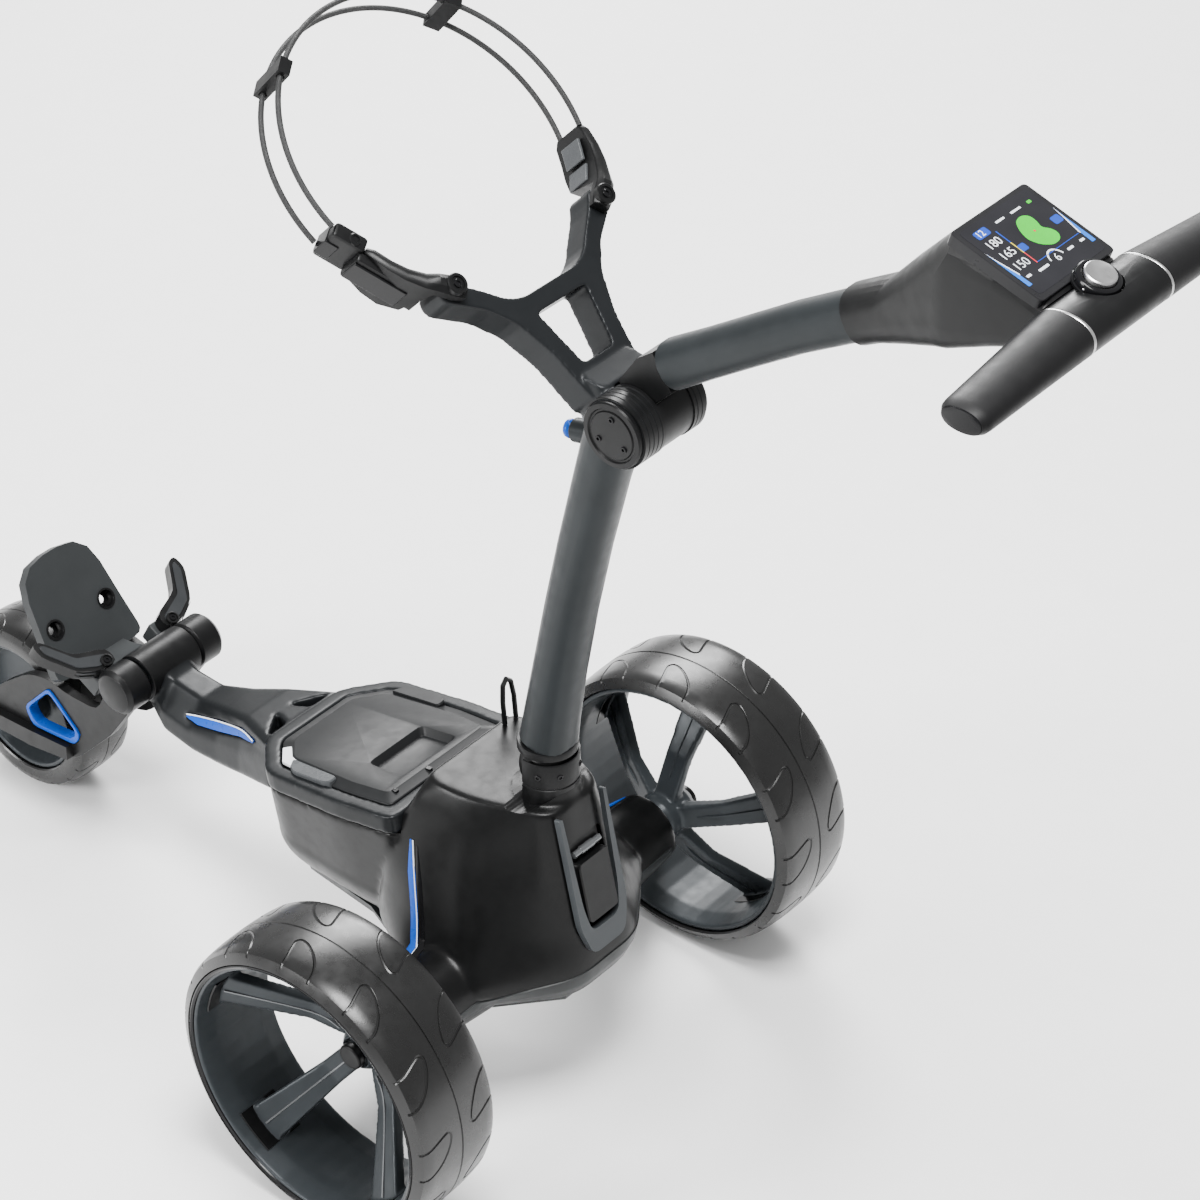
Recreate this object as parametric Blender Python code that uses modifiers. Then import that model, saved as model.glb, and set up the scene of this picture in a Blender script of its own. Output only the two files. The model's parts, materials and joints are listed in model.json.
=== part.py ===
"""Electric golf trolley with a three-wheel chassis, a folding mast and a T-bar handle.

Metres, +Z up, front wheel towards -Y, the trolley's left towards +X. The helpers take points in
the trolley's own frame, whose y = 0 is the rear axle and whose z = 0 is the ground; the empty
"trolley" moves that frame so that the model's origin is on the ground in the middle of the object.
"""

import math

import bmesh
import bpy
from mathutils import Matrix, Vector

# ---------------------------------------------------------------- driving dimensions (metres)
GAP = 0.0004                 # clearance between pieces that touch
REAR_RADIUS = 0.1375         # 275 mm drive wheels
REAR_INNER_X = 0.190         # inboard lip of a rear tyre
REAR_WIDTH = 0.0925
RIM_RADIUS = 0.1235
SPOKE_TURN = math.radians(-1)  # where the first spoke stands
FRONT_RADIUS = 0.088
FRONT_HALF_WIDTH = 0.033
FRONT_AXLE = (-0.603, FRONT_RADIUS)      # y, z
AXLE_RADIUS = 0.006

BARREL = (-0.435, 0.2035)    # y, z of the front fork's pivot
BARREL_RADIUS = 0.0225
BARREL_HALF = 0.060
SLEEVE_HALF = 0.030          # the middle of the barrel, which belongs to the arm

TILT = math.radians(9.8)     # the battery and its tray slope down towards the front
TRAY_REAR = (-0.087, 0.2645)  # y, z of the tray rim's plane at the battery's rear edge
TRAY_RIM = 0.016             # rim width round the battery
TRAY_RIM_DEPTH = 0.018
BATTERY_PROUD = 0.003
BATTERY_DEPTH = 0.055
BATTERY_LID = 0.012

MAST_PIVOT = (0.0275, 0.326)   # y, z
MAST_RADIUS = 0.0205
COLLAR_RADIUS = 0.0250
HINGE = (0.132, 0.717)       # y, z of the handle hinge
HINGE_RADIUS = 0.029
HINGE_LEFT, HINGE_RIGHT = 0.041, 0.0305   # how far the hinge reaches to each side
KNUCKLE_HALF = 0.0165

BRACKET_TOP = (0.0085, 0.812)  # y, z of the upper bag arms' pivots
ARM_PIVOT_X = 0.085
BRACKET_THICK = 0.029
BUNGEE_RADIUS = 0.0023
BUNGEE_LOOP = 0.132          # radius of the loop that the cords make in front of the arms
BUNGEE_CENTRE = (0, -0.0804, 0.8632)
BUNGEE_GAP = 0.028           # between the two cords of the pair

PLATE_BASE = (-0.5155, 0.171)  # y, z of the lower bag plate's foot
LOWER_PIVOT = (-0.4608, 0.2174)
LOWER_PIVOT_X = 0.0417

TBAR = (0.516, 0.962)        # y, z of the T-bar
TBAR_HALF = 0.0445
TBAR_DEEP, TBAR_HIGH = 0.0235, 0.0160
GRIP_END_X = 0.168
SCREEN_TILT = math.radians(17.1)
SCREEN_CENTRE = (0.4555, 0.9862)  # y, z

FRONT_REACH = FRONT_RADIUS - FRONT_AXLE[0]
REAR_REACH = TBAR[0] + TBAR_DEEP
AXLE_Y = (FRONT_REACH - REAR_REACH) / 2   # the rear axle in the model's frame


# ---------------------------------------------------------------- scene and small helpers
def clear_scene():
    for obj in list(bpy.data.objects):
        bpy.data.objects.remove(obj, do_unlink=True)


clear_scene()
trolley_parts = bpy.data.collections.new("electric_golf_trolley")
cutters = bpy.data.collections.new("cutters")
cutters.hide_render = True
for group in (trolley_parts, cutters):
    bpy.context.scene.collection.children.link(group)

trolley = bpy.data.objects.new("trolley", None)
trolley.location = (0, AXLE_Y, 0)
trolley_parts.objects.link(trolley)


def material(name, colour, roughness, metallic=0.0):
    made = bpy.data.materials.new(name)
    made.use_nodes = True
    shader = made.node_tree.nodes["Principled BSDF"]
    shader.inputs["Base Color"].default_value = (*colour, 1)
    shader.inputs["Roughness"].default_value = roughness
    shader.inputs["Metallic"].default_value = metallic
    return made


BLACK = material("black_plastic", (0.018, 0.019, 0.020), 0.35)
GREY = material("graphite_paint", (0.075, 0.082, 0.086), 0.42, 0.2)
RUBBER = material("tyre_rubber", (0.012, 0.012, 0.012), 0.5)
BLUE = material("blue_plastic", (0.02, 0.17, 0.62), 0.35)
STEEL = material("steel", (0.55, 0.55, 0.56), 0.28, 1.0)
GLASS = material("screen_glass", (0.01, 0.01, 0.012), 0.08)
GRIP = material("grip_rubber", (0.022, 0.022, 0.023), 0.62)
CELL = material("battery_case", (0.055, 0.057, 0.059), 0.45)
BOARD = material("circuit_board", (0.02, 0.16, 0.07), 0.5)
CORD = material("bungee_cord", (0.02, 0.02, 0.02), 0.6)


def add(name, mesh, mat, parent=trolley, group=trolley_parts):
    """A new object of this mesh in the trolley's frame."""
    obj = bpy.data.objects.new(name, mesh)
    mesh.materials.clear()
    if mat:
        mesh.materials.append(mat)
    group.objects.link(obj)
    obj.parent = parent
    if mat is None:
        obj.hide_render = True
        obj.display_type = "WIRE"
    return obj


def cutter(obj):
    """Turns an object into a cutter: kept in the file, never a part."""
    trolley_parts.objects.unlink(obj)
    cutters.objects.link(obj)
    obj.hide_render = True
    obj.display_type = "WIRE"
    return obj


def mesh_of(bm, name, smooth=35):
    bmesh.ops.recalc_face_normals(bm, faces=bm.faces)
    mesh = bpy.data.meshes.new(name)
    bm.to_mesh(mesh)
    bm.free()
    mesh.shade_smooth()
    mesh.set_sharp_from_angle(angle=math.radians(smooth))
    return mesh


def bevelled(obj, width, segments=2, angle=30):
    modifier = obj.modifiers.new("rounded_edges", "BEVEL")
    modifier.width = width
    modifier.segments = segments
    modifier.limit_method = "ANGLE"
    modifier.angle_limit = math.radians(angle)
    modifier.use_clamp_overlap = True
    return obj


def join(obj, *others):
    """Boolean unions: the others become part of obj."""
    for other in others:
        modifier = obj.modifiers.new("join_" + other.name, "BOOLEAN")
        modifier.operation = "UNION"
        modifier.solver = "EXACT"
        modifier.object = cutter(other)
    return obj


def cut(obj, *tools):
    for tool in tools:
        modifier = obj.modifiers.new("cut_" + tool.name, "BOOLEAN")
        modifier.operation = "DIFFERENCE"
        modifier.solver = "EXACT"
        modifier.object = tool if tool.name in cutters.objects else cutter(tool)
    return obj


def frame_at(centre, u, v):
    """The matrix whose X is u, whose Y is v and whose Z is u x v, at centre."""
    u, v = Vector(u).normalized(), Vector(v).normalized()
    w = u.cross(v).normalized()
    v = w.cross(u)
    return Matrix(((u.x, v.x, w.x, centre[0]), (u.y, v.y, w.y, centre[1]),
                   (u.z, v.z, w.z, centre[2]), (0, 0, 0, 1)))


def box(name, mat, size, centre, tilt=0.0, bevel=0.0, parent=trolley):
    """A box, tilted about X."""
    bm = bmesh.new()
    bmesh.ops.create_cube(bm, size=1)
    bmesh.ops.scale(bm, vec=size, verts=bm.verts)
    obj = add(name, mesh_of(bm, name), mat, parent)
    obj.location = centre
    obj.rotation_euler.x = tilt
    return bevelled(obj, bevel) if bevel else obj


def rod(name, mat, radius, start, end, sides=28, bevel=0.0, end_radius=None, parent=trolley):
    """A cylinder or cone between two points."""
    start, end = Vector(start), Vector(end)
    bm = bmesh.new()
    bmesh.ops.create_cone(bm, cap_ends=True, segments=sides, radius1=radius,
                          radius2=radius if end_radius is None else end_radius,
                          depth=(end - start).length)
    obj = add(name, mesh_of(bm, name), mat, parent)
    obj.location = (start + end) / 2
    obj.rotation_euler = (end - start).to_track_quat("Z", "Y").to_euler()
    return bevelled(obj, bevel, 1) if bevel else obj


def turned(name, mat, profile, centre=(0, 0, 0), axis="X", steps=48, closed=True, parent=trolley):
    """A profile of (radius, distance along the axis) points swept once round the axis."""
    area = sum(a[0] * b[1] - b[0] * a[1] for a, b in zip(profile, profile[1:] + profile[:1]))
    if area > 0:
        profile = profile[::-1]
    bm = bmesh.new()
    points = [bm.verts.new((radius, 0, along)) for radius, along in profile]
    for a, b in zip(points, points[1:]):
        bm.edges.new((a, b))
    if closed:
        bm.edges.new((points[-1], points[0]))
    mesh = bpy.data.meshes.new(name)
    bm.to_mesh(mesh)
    bm.free()
    obj = add(name, mesh, mat, parent)
    obj.location = centre
    if axis == "X":
        obj.rotation_euler = (0, math.pi / 2, 0)
    screw = obj.modifiers.new("turn", "SCREW")
    screw.axis = "Z"
    screw.angle = 2 * math.pi
    screw.steps = screw.render_steps = steps
    screw.use_merge_vertices = True
    screw.merge_threshold = 1e-5
    screw.use_smooth_shade = True
    return obj


def loft(name, mat, rings, smooth=40, parent=trolley):
    """A closed skin through rings of the same number of points, with flat ends."""
    bm = bmesh.new()
    loops = [[bm.verts.new(point) for point in ring] for ring in rings]
    count = len(loops[0])
    for near, far in zip(loops, loops[1:]):
        for i in range(count):
            j = (i + 1) % count
            bm.faces.new((near[i], near[j], far[j], far[i]))
    bm.faces.new(list(reversed(loops[0])))
    bm.faces.new(loops[-1])
    return add(name, mesh_of(bm, name, smooth), mat, parent)


def oval(half_u, half_v, power=2.4, count=20):
    """Points of a superellipse."""
    found = []
    for i in range(count):
        turn = 2 * math.pi * (i + 0.5) / count
        c, s = math.cos(turn), math.sin(turn)
        found.append((math.copysign(abs(c) ** (2 / power), c) * half_u,
                      math.copysign(abs(s) ** (2 / power), s) * half_v))
    return found


def ring_at(matrix, outline):
    return [matrix @ Vector((x, y, 0)) for x, y in outline]


def rounded(points, radius, steps=3):
    """An outline with its corners rounded by arcs."""
    found = []
    for i, point in enumerate(points):
        corner = Vector(point[:2])
        r = point[2] if len(point) > 2 else radius
        before = (Vector(points[i - 1][:2]) - corner)
        after = (Vector(points[(i + 1) % len(points)][:2]) - corner)
        reach = min(r, before.length * 0.49, after.length * 0.49)
        a, b = corner + before.normalized() * reach, corner + after.normalized() * reach
        for k in range(steps + 1):
            t = k / steps
            found.append(((1 - t) ** 2 * a + 2 * t * (1 - t) * corner + t * t * b)[:])
    return found


def plate(name, mat, outline, thickness, matrix, holes=(), parent=trolley, bevel=0.0):
    """A flat outline, with holes, made from a 2D curve and turned into a mesh."""
    curve = bpy.data.curves.new(name, "CURVE")
    curve.dimensions = "2D"
    curve.fill_mode = "BOTH"
    curve.extrude = thickness / 2
    for points in (outline, *holes):
        spline = curve.splines.new("POLY")
        spline.points.add(len(points) - 1)
        for place, (x, y) in zip(spline.points, points):
            place.co = (x, y, 0, 1)
        spline.use_cyclic_u = True
    guide = bpy.data.objects.new(name + "_outline", curve)
    cutters.objects.link(guide)
    guide.matrix_world = matrix
    obj = solid_from(guide, name, mat, parent)
    return bevelled(obj, bevel, 1, 50) if bevel else obj


def solid_from(guide, name, mat, parent=trolley):
    """The mesh of a curve object, welded, in the curve's place; the curve is removed."""
    bpy.context.view_layer.update()
    graph = bpy.context.evaluated_depsgraph_get()
    mesh = bpy.data.meshes.new_from_object(guide.evaluated_get(graph))
    bm = bmesh.new()
    bm.from_mesh(mesh)
    bmesh.ops.remove_doubles(bm, verts=bm.verts, dist=1e-5)
    bmesh.ops.transform(bm, matrix=guide.matrix_world, verts=bm.verts)
    bpy.data.meshes.remove(mesh)
    bpy.data.objects.remove(guide)
    return add(name, mesh_of(bm, name), mat, parent)


def wire(name, mat, points, radius, sides=2, closed=False, parent=trolley):
    """A round wire through the points."""
    curve = bpy.data.curves.new(name, "CURVE")
    curve.dimensions = "3D"
    curve.bevel_depth = radius
    curve.bevel_resolution = sides
    curve.use_fill_caps = True
    spline = curve.splines.new("POLY")
    spline.points.add(len(points) - 1)
    for place, point in zip(spline.points, points):
        place.co = (*point, 1)
    spline.use_cyclic_u = closed
    guide = bpy.data.objects.new(name + "_line", curve)
    cutters.objects.link(guide)
    return solid_from(guide, name, mat, parent)


def pivot(name, point, parent=trolley):
    """An empty on a joint's axis, with the pieces of the moving body under it."""
    empty = bpy.data.objects.new(name, None)
    trolley_parts.objects.link(empty)
    empty.parent = parent
    empty.location = Vector(point) - (Vector((0, 0, 0)) if parent is trolley else parent.location)
    return empty


def hang(obj, empty):
    """Puts an object made in the trolley's frame under a joint's empty, without moving it."""
    bpy.context.view_layer.update()
    obj.parent = empty
    obj.matrix_parent_inverse = empty.matrix_world.inverted() @ trolley.matrix_world
    return obj


def circle(radius, centre=(0, 0), count=20):
    return [(centre[0] + radius * math.cos(2 * math.pi * i / count),
             centre[1] + radius * math.sin(2 * math.pi * i / count)) for i in range(count)]


def side_plane(x):
    """Outline x -> trolley y, outline y -> trolley z, at this trolley x."""
    return frame_at((x, 0, 0), (0, 1, 0), (0, 0, 1))


# ---------------------------------------------------------------- tray and battery
def tray_plane(above=0.0):
    """Outline x across the trolley, outline y along the tray towards the rear, normal up."""
    return frame_at((0, TRAY_REAR[0], TRAY_REAR[1]), (1, 0, 0), (0, math.cos(TILT), math.sin(TILT))) \
        @ Matrix.Translation((0, 0, above))


def battery_outline(offset=0.0):
    """Eight-sided outline: narrow front edge, chamfered corners, a nearly square rear."""
    front, shoulder, rear = -0.156, -0.129, 0.0
    half = [(0.041 + 0.41 * offset, front - offset), (0.069 + offset, shoulder - 0.41 * offset),
            (0.073 + offset, -0.050), (0.070 + offset, rear + offset)]
    return half + [(-x, y) for x, y in reversed(half)]


def battery_solid(name, mat, offset, low, high, corner=0.006):
    centre = (low + high) / 2
    return plate(name, mat, rounded(battery_outline(offset), corner, 2), high - low,
                 tray_plane(centre))


def build_battery():
    lift = pivot("battery_axis", (0, TRAY_REAR[0], TRAY_REAR[1]))
    case = battery_solid("battery_case", CELL, -0.0015, -BATTERY_DEPTH, BATTERY_PROUD - BATTERY_LID - GAP)
    lid = battery_solid("battery_lid", CELL, 0.0, BATTERY_PROUD - BATTERY_LID, BATTERY_PROUD)
    recess = plate("battery_recess", None, rounded([(-0.034, -0.058), (0.034, -0.058), (0.036, -0.020),
                                                    (-0.036, -0.020)], 0.005), 0.012,
                   tray_plane(BATTERY_PROUD + 0.001))
    cut(lid, recess)
    for obj in (case, lid):
        hang(obj, lift)


# ---------------------------------------------------------------- main housing
def housing_ring(z, rear, side, front):
    """Plan outline of the rear body at height z, as (half width, y) at rear, side and front."""
    half = [(rear[0], rear[1]), (side[0], side[1]), (side[0] + 0.003, side[2]), (front[0], front[1])]
    return [(x, y, z) for x, y in half] + [(-x, y, z) for x, y in reversed(half)]


def tray_shape(name, mat, grow, low, top):
    """The bin under the battery: narrow at the bottom, and following the tray's tilted rim at the top."""
    return loft(name, mat, [
        [(x * 0.66, max(y * 0.98, -0.246) - grow, low) for x, y in plan_outline(0.010 + grow)],
        [(x * 0.90, y, 0.165) for x, y in plan_outline(0.012 + grow)],
        tilted_outline(TRAY_RIM - 0.001 + grow, top)])


def build_housing():
    rear_of = lambda z: 0.063 + 0.2222 * (0.280 - z)
    body = loft("main_housing", BLACK, [
        housing_ring(0.122, (0.036, rear_of(0.150) - 0.008), (0.095, 0.028, -0.040), (0.060, -0.120)),
        housing_ring(0.150, (0.038, rear_of(0.150)), (0.118, 0.034, -0.034), (0.070, -0.110)),
        housing_ring(0.190, (0.036, rear_of(0.190)), (0.096, 0.020, -0.040), (0.078, -0.100)),
        housing_ring(0.235, (0.034, rear_of(0.235)), (0.080, 0.000, -0.050), (0.080, -0.090)),
        housing_ring(0.280, (0.033, rear_of(0.280)), (0.066, -0.010, -0.050), (0.070, -0.066)),
        housing_ring(0.302, (0.032, rear_of(0.302)), (0.055, -0.010, -0.045), (0.052, -0.060)),
    ])
    tray = tray_shape("tray_block", BLACK, 0.0, 0.122, -TRAY_RIM_DEPTH - GAP)
    tower = rod("mast_tower", BLACK, 0.0315, (0, 0.0345, 0.24), (0, 0.0285, 0.322), 32)
    bosses = [rod("axle_boss_" + side, BLACK, 0.040, (sign * 0.080, 0, REAR_RADIUS),
                  (sign * 0.166, 0, REAR_RADIUS), 32, 0.003, 0.033)
              for side, sign in (("left", 1), ("right", -1))]
    join(body, tray, tower, *bosses)
    rim_space = battery_solid("rim_space", None, TRAY_RIM + GAP, -TRAY_RIM_DEPTH - 1.5 * GAP, 0.12, 0.010)
    bay = battery_solid("battery_bay", None, 0.0012, -BATTERY_DEPTH - 0.002, 0.03)
    saddle = rod("mast_saddle", None, COLLAR_RADIUS + 0.0015, (-0.05, *MAST_PIVOT), (0.05, *MAST_PIVOT), 40)
    inside = loft("machinery_space", None, [
        [(x, y, 0.10) for x, y in ((0.052, 0.060), (0.052, -0.235), (-0.052, -0.235), (-0.052, 0.060))],
        [(x, y, 0.172) for x, y in ((0.056, 0.062), (0.052, -0.220), (-0.052, -0.220), (-0.056, 0.062))],
    ])
    axle_bore = rod("axle_bore", None, 0.0137, (-0.20, 0, REAR_RADIUS), (0.20, 0, REAR_RADIUS), 32)
    pocket = box("latch_pocket", None, (0.044, 0.030, 0.094), latch_point(0.058, -0.001), LATCH_TILT)
    fold_way = box("mast_fold_way", None, (0.080, 0.080, 0.060), (0, MAST_PIVOT[0] - 0.040, 0.3325))
    cut(body, rim_space, bay, saddle, fold_way, inside, axle_bore, pocket)
    for side, sign in (("left", 1), ("right", -1)):
        cut(body, stripe_solid("stripe_slot_" + side, None, sign, 0.0009, 0.006))
    base = loft("housing_base", BLACK, [
        [(x, y, 0.105) for x, y in base_outline(-0.014)],
        [(x, y, 0.112) for x, y in base_outline(-0.002)],
        [(x, y, 0.122 - GAP) for x, y in base_outline(0.001)],
    ])
    well = loft("base_well", None, [[(x, y, z) for x, y in base_outline(-0.016)] for z in (0.109, 0.130)])
    boss_spaces = [rod("boss_space_" + side, None, 0.040 + GAP, (sign * (0.080 - GAP), 0, REAR_RADIUS),
                       (sign * 0.20, 0, REAR_RADIUS), 32) for side, sign in (("left", 1), ("right", -1))]
    cut(base, well, *boss_spaces)
    return body, base


def plan_outline(offset):
    """The tray's outline looking straight down."""
    return [(x, TRAY_REAR[0] + y * math.cos(TILT)) for x, y in battery_outline(offset)]


def tilted_outline(offset, above):
    place = tray_plane(above)
    return [place @ Vector((x, y, 0)) for x, y in battery_outline(offset)]


def base_outline(offset):
    half = [(0.034 + offset, 0.074 + offset), (0.090 + offset, 0.024), (0.092 + offset, -0.040),
            (0.056 + offset, -0.128), (0.048 + offset, -0.210), (0.032 + offset, -0.238 - offset)]
    return half + [(-x, y) for x, y in reversed(half)]


LATCH_TILT = math.atan(0.2222)
LATCH_TOP = (0.063, 0.280)


def latch_point(down, out):
    """A point on the rear face's centre line: down along it from z = 0.28, and out of it."""
    c, s = math.cos(LATCH_TILT), math.sin(LATCH_TILT)
    return (0, LATCH_TOP[0] + down * s + out * c, LATCH_TOP[1] - down * c + out * s)


def latch_plane(out):
    return frame_at(latch_point(0, out), (1, 0, 0), (0, -math.sin(LATCH_TILT), math.cos(LATCH_TILT)))


STRIPE_LEVELS = [             # z, the body's side and front corners (x, y) there, the stripe's half width
    (0.248, 0.0790, -0.0500, 0.0771, -0.0831, 0.0010),
    (0.232, 0.0842, -0.0492, 0.0799, -0.0907, 0.0030),
    (0.190, 0.0990, -0.0400, 0.0780, -0.1000, 0.0040),
    (0.158, 0.1166, -0.0352, 0.0716, -0.1080, 0.0042),
]


def stripe_solid(name, mat, sign, grow, proud):
    """A slim strip set into the body's shoulder in front of each wheel."""
    rings = []
    for i, (z, side_x, side_y, front_x, front_y, half) in enumerate(STRIPE_LEVELS):
        corner, front = Vector((side_x, side_y)), Vector((front_x, front_y))
        along = (front - corner).normalized()
        out = Vector((-along.y, along.x))
        middle = corner + along * 0.0075
        z += grow if i == 0 else -grow if i == len(STRIPE_LEVELS) - 1 else 0
        rings.append([(sign * p.x, p.y, z) for p in (
            middle - along * (half + grow) - out * (0.003 + grow), middle + along * (half + grow) - out * (0.003 + grow),
            middle + along * (half + grow) + out * proud, middle - along * (half + grow) + out * proud)])
    return loft(name, mat, rings)


def build_stripes():
    for side, sign in (("left", 1), ("right", -1)):
        stripe_solid("side_stripe_" + side, BLUE, sign, 0.0, 0.0006)


def build_latch():
    outer = rounded([(-0.030, 0.022), (-0.030, -0.090), (-0.020, -0.118), (0.020, -0.118),
                     (0.030, -0.090), (0.030, 0.022), (0.0255, 0.022), (0.0235, -0.080),
                     (0.016, -0.107), (-0.016, -0.107), (-0.0235, -0.080), (-0.0255, 0.022)], 0.004, 2)
    plate("latch_frame", GREY, outer, 0.006, latch_plane(0.003 + GAP))
    axis = pivot("latch_axis", latch_point(0.016, 0.002))
    lever = plate("mast_latch_lever", BLACK, rounded([(-0.019, -0.012), (-0.019, -0.088), (0.019, -0.088),
                                                      (0.019, -0.012)], 0.003, 2), 0.012,
                  latch_plane(0.001), bevel=0.0015)
    hang(lever, axis)


ARM_STATIONS = [              # y, half width at the top and bottom, bottom z, top z
    (-0.432, 0.0190, 0.0250, 0.182, 0.2190),
    (-0.405, 0.0150, 0.0300, 0.155, 0.2060),
    (-0.370, 0.0160, 0.0320, 0.151, 0.2035),
    (-0.335, 0.0210, 0.0340, 0.154, 0.2140),
    (-0.300, 0.0300, 0.0390, 0.162, 0.2260),
    (-0.248, 0.0520, 0.0530, 0.180, 0.2345),
]


def arm_section(y):
    """Half width at the top and bottom, bottom z and top z of the arm at this y."""
    for near, far in zip(ARM_STATIONS, ARM_STATIONS[1:]):
        if y <= far[0]:
            t = (y - near[0]) / (far[0] - near[0])
            return [a + t * (b - a) for a, b in zip(near[1:], far[1:])]
    return ARM_STATIONS[-1][1:]


def inlay_ring(y, half_height, inside, outside, sign):
    """A slim section lying in the arm's sloping side face."""
    top, bottom, low, high = arm_section(y)
    upper, lower = Vector((top, high - 0.003)), Vector((bottom, (low + high) / 2))
    share = 0.60 - 2.5 * (y + 0.378)
    middle, down = upper.lerp(lower, share), (lower - upper).normalized()
    out = Vector((-down.y, down.x))
    corners = [middle - half_height * down - inside * out, middle + half_height * down - inside * out,
               middle + half_height * down + outside * out, middle - half_height * down + outside * out]
    return [(sign * c.x, y, c.y) for c in corners]


def build_frame():
    """The front arm with the fork's sleeve and the tray's rim, as one casting."""
    rings = []
    for y, top, bottom, low, high in ARM_STATIONS:
        half = [(bottom * 0.82, low), (bottom, low + 0.008), (bottom, (low + high) / 2),
                (top, high - 0.003), (top * 0.86, high)]
        rings.append([(x, y, z) for x, z in half] + [(-x, y, z) for x, z in reversed(half)])
    arm = loft("chassis_arm", GREY, rings)
    rim = battery_solid("tray_rim", GREY, TRAY_RIM, -TRAY_RIM_DEPTH, 0.0, 0.010)
    sleeve = rod("fork_sleeve", GREY, BARREL_RADIUS, (-SLEEVE_HALF, *BARREL), (SLEEVE_HALF, *BARREL), 32)
    below = tray_shape("housing_top_space", None, 0.0006, 0.110, 0.004 - TRAY_RIM_DEPTH)
    join(cut(join(arm, sleeve), below), rim)
    bay = battery_solid("rim_bay", None, 0.0012, -0.09, 0.03)
    pin = rod("pin_bore", None, AXLE_RADIUS + 0.0006, (-0.05, *BARREL), (0.05, *BARREL), 24)
    vents = []
    for sign in (1, -1):
        corners = [(sign * 0.008, -0.1975), (sign * 0.015, -0.178), (sign * 0.040, -0.1760)]
        vents.append(plate("vent_" + ("left" if sign > 0 else "right"), None,
                           rounded(corners[::sign], 0.003, 2), 0.20, tray_plane(0)))
    cut(arm, bay, pin, *vents)
    for side, sign in (("left", 1), ("right", -1)):
        stations = [(-0.378, 0.0012), (-0.362, 0.0040), (-0.332, 0.0045), (-0.300, 0.0034), (-0.278, 0.0012)]
        inlay = loft("arm_inlay_" + side, BLUE,
                     [inlay_ring(y, half, 0.003, 0.0004, sign) for y, half in stations])
        wider = [(y + step, half + GAP) for (y, half), step in zip(stations, (-GAP, 0, 0, 0, GAP))]
        cut(arm, loft("inlay_slot_" + side, None,
                      [inlay_ring(y, half, 0.003 + GAP, 0.004, sign) for y, half in wider]))
    return arm


# ---------------------------------------------------------------- drive: motor, gearbox, axles
def build_drive():
    box("gearbox", STEEL, (0.040, 0.100, 0.050), (0, -0.012, REAR_RADIUS), 0.0, 0.003)
    rod("motor", STEEL, 0.024, (0.0204, -0.034, 0.140), (0.048, -0.034, 0.140), 32, 0.002)
    box("controller_board", BOARD, (0.086, 0.095, 0.0016), (0, -0.140, 0.150))
    box("battery_connector", BLACK, (0.040, 0.022, 0.012), (0, -0.190, 0.1595), 0.0, 0.001)
    for side, sign in (("left", 1), ("right", -1)):
        turned("axle_bearing_" + side, STEEL, [(0.0132, 0.010), (0.0132, 0.0), (AXLE_RADIUS + GAP, 0.0),
                                               (AXLE_RADIUS + GAP, 0.010)],
               (sign * 0.155 - 0.005, 0, REAR_RADIUS), steps=32)


def build_rear_wheel(side, sign):
    spin = pivot("rear_axle_" + side, (sign * REAR_INNER_X, 0, REAR_RADIUS))
    x0 = REAR_INNER_X
    tread = [(RIM_RADIUS + GAP, 0.0915), (RIM_RADIUS + GAP, 0.001), (0.1252, 0.0), (0.1310, 0.0035),
             (0.1352, 0.018), (0.1375, 0.0462), (0.1352, 0.0745), (0.1310, 0.0890), (0.1252, 0.0925)]
    rim = [(RIM_RADIUS, 0.0905), (0.1180, 0.0905), (0.1150, 0.070), (0.1150, 0.022), (0.1190, 0.003),
           (RIM_RADIUS, 0.003)]
    mirror = lambda profile: [(r, sign * (x0 + a)) for r, a in profile]
    tyre = turned("rear_tyre_" + side, RUBBER, mirror(tread), (0, 0, REAR_RADIUS))
    wheel = turned("rear_rim_" + side, GREY, mirror(rim), (0, 0, REAR_RADIUS))
    hub = turned("rear_hub_" + side, GREY, [(0.0135, sign * 0.216), (0.0205, sign * 0.206), (0.0225, sign * 0.178),
                                            (0.0180, sign * 0.1690), (0.0063, sign * 0.1690),
                                            (0.0063, sign * 0.2095), (0.0135, sign * 0.2100)],
                 (0, 0, REAR_RADIUS), steps=24)
    spokes = []
    for i in range(5):
        turn = Matrix.Rotation(2 * math.pi * i / 5 + SPOKE_TURN, 4, "X")
        rings = []
        for radius, x, wide, thick in ((0.012, 0.190, 0.011, 0.0075), (0.055, 0.2085, 0.0115, 0.0045),
                                       (0.1165, 0.2520, 0.0175, 0.0045)):
            lean = 0.0 if radius < 0.02 else 0.6
            corners = [(wide, thick), (-wide, thick), (-wide, -thick), (wide, -thick)]
            rings.append([Matrix.Translation((0, 0, REAR_RADIUS)) @ turn
                          @ Vector((sign * (x + t), w, radius - lean * t)) for w, t in corners])
        spokes.append(loft(f"spoke_{side}_{i}", GREY, rings))
    join(wheel, hub, *spokes)
    axle = rod("drive_axle_" + side, STEEL, AXLE_RADIUS, (sign * 0.0205, 0, REAR_RADIUS),
               (sign * 0.2090, 0, REAR_RADIUS), 24)
    button = rod("wheel_release_" + side, BLACK, 0.0118, (sign * 0.2135, 0, REAR_RADIUS),
                 (sign * 0.2220, 0, REAR_RADIUS), 24, 0.0015)
    cup = rod("release_cup_" + side, None, 0.0122, (sign * 0.2100, 0, REAR_RADIUS),
              (sign * 0.2300, 0, REAR_RADIUS), 24)
    cut(wheel, cup)
    for obj in (tyre, wheel, axle):
        hang(obj, spin)
    hang(button, pivot("release_axis_" + side, (0, 0, 0), spin))


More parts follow.
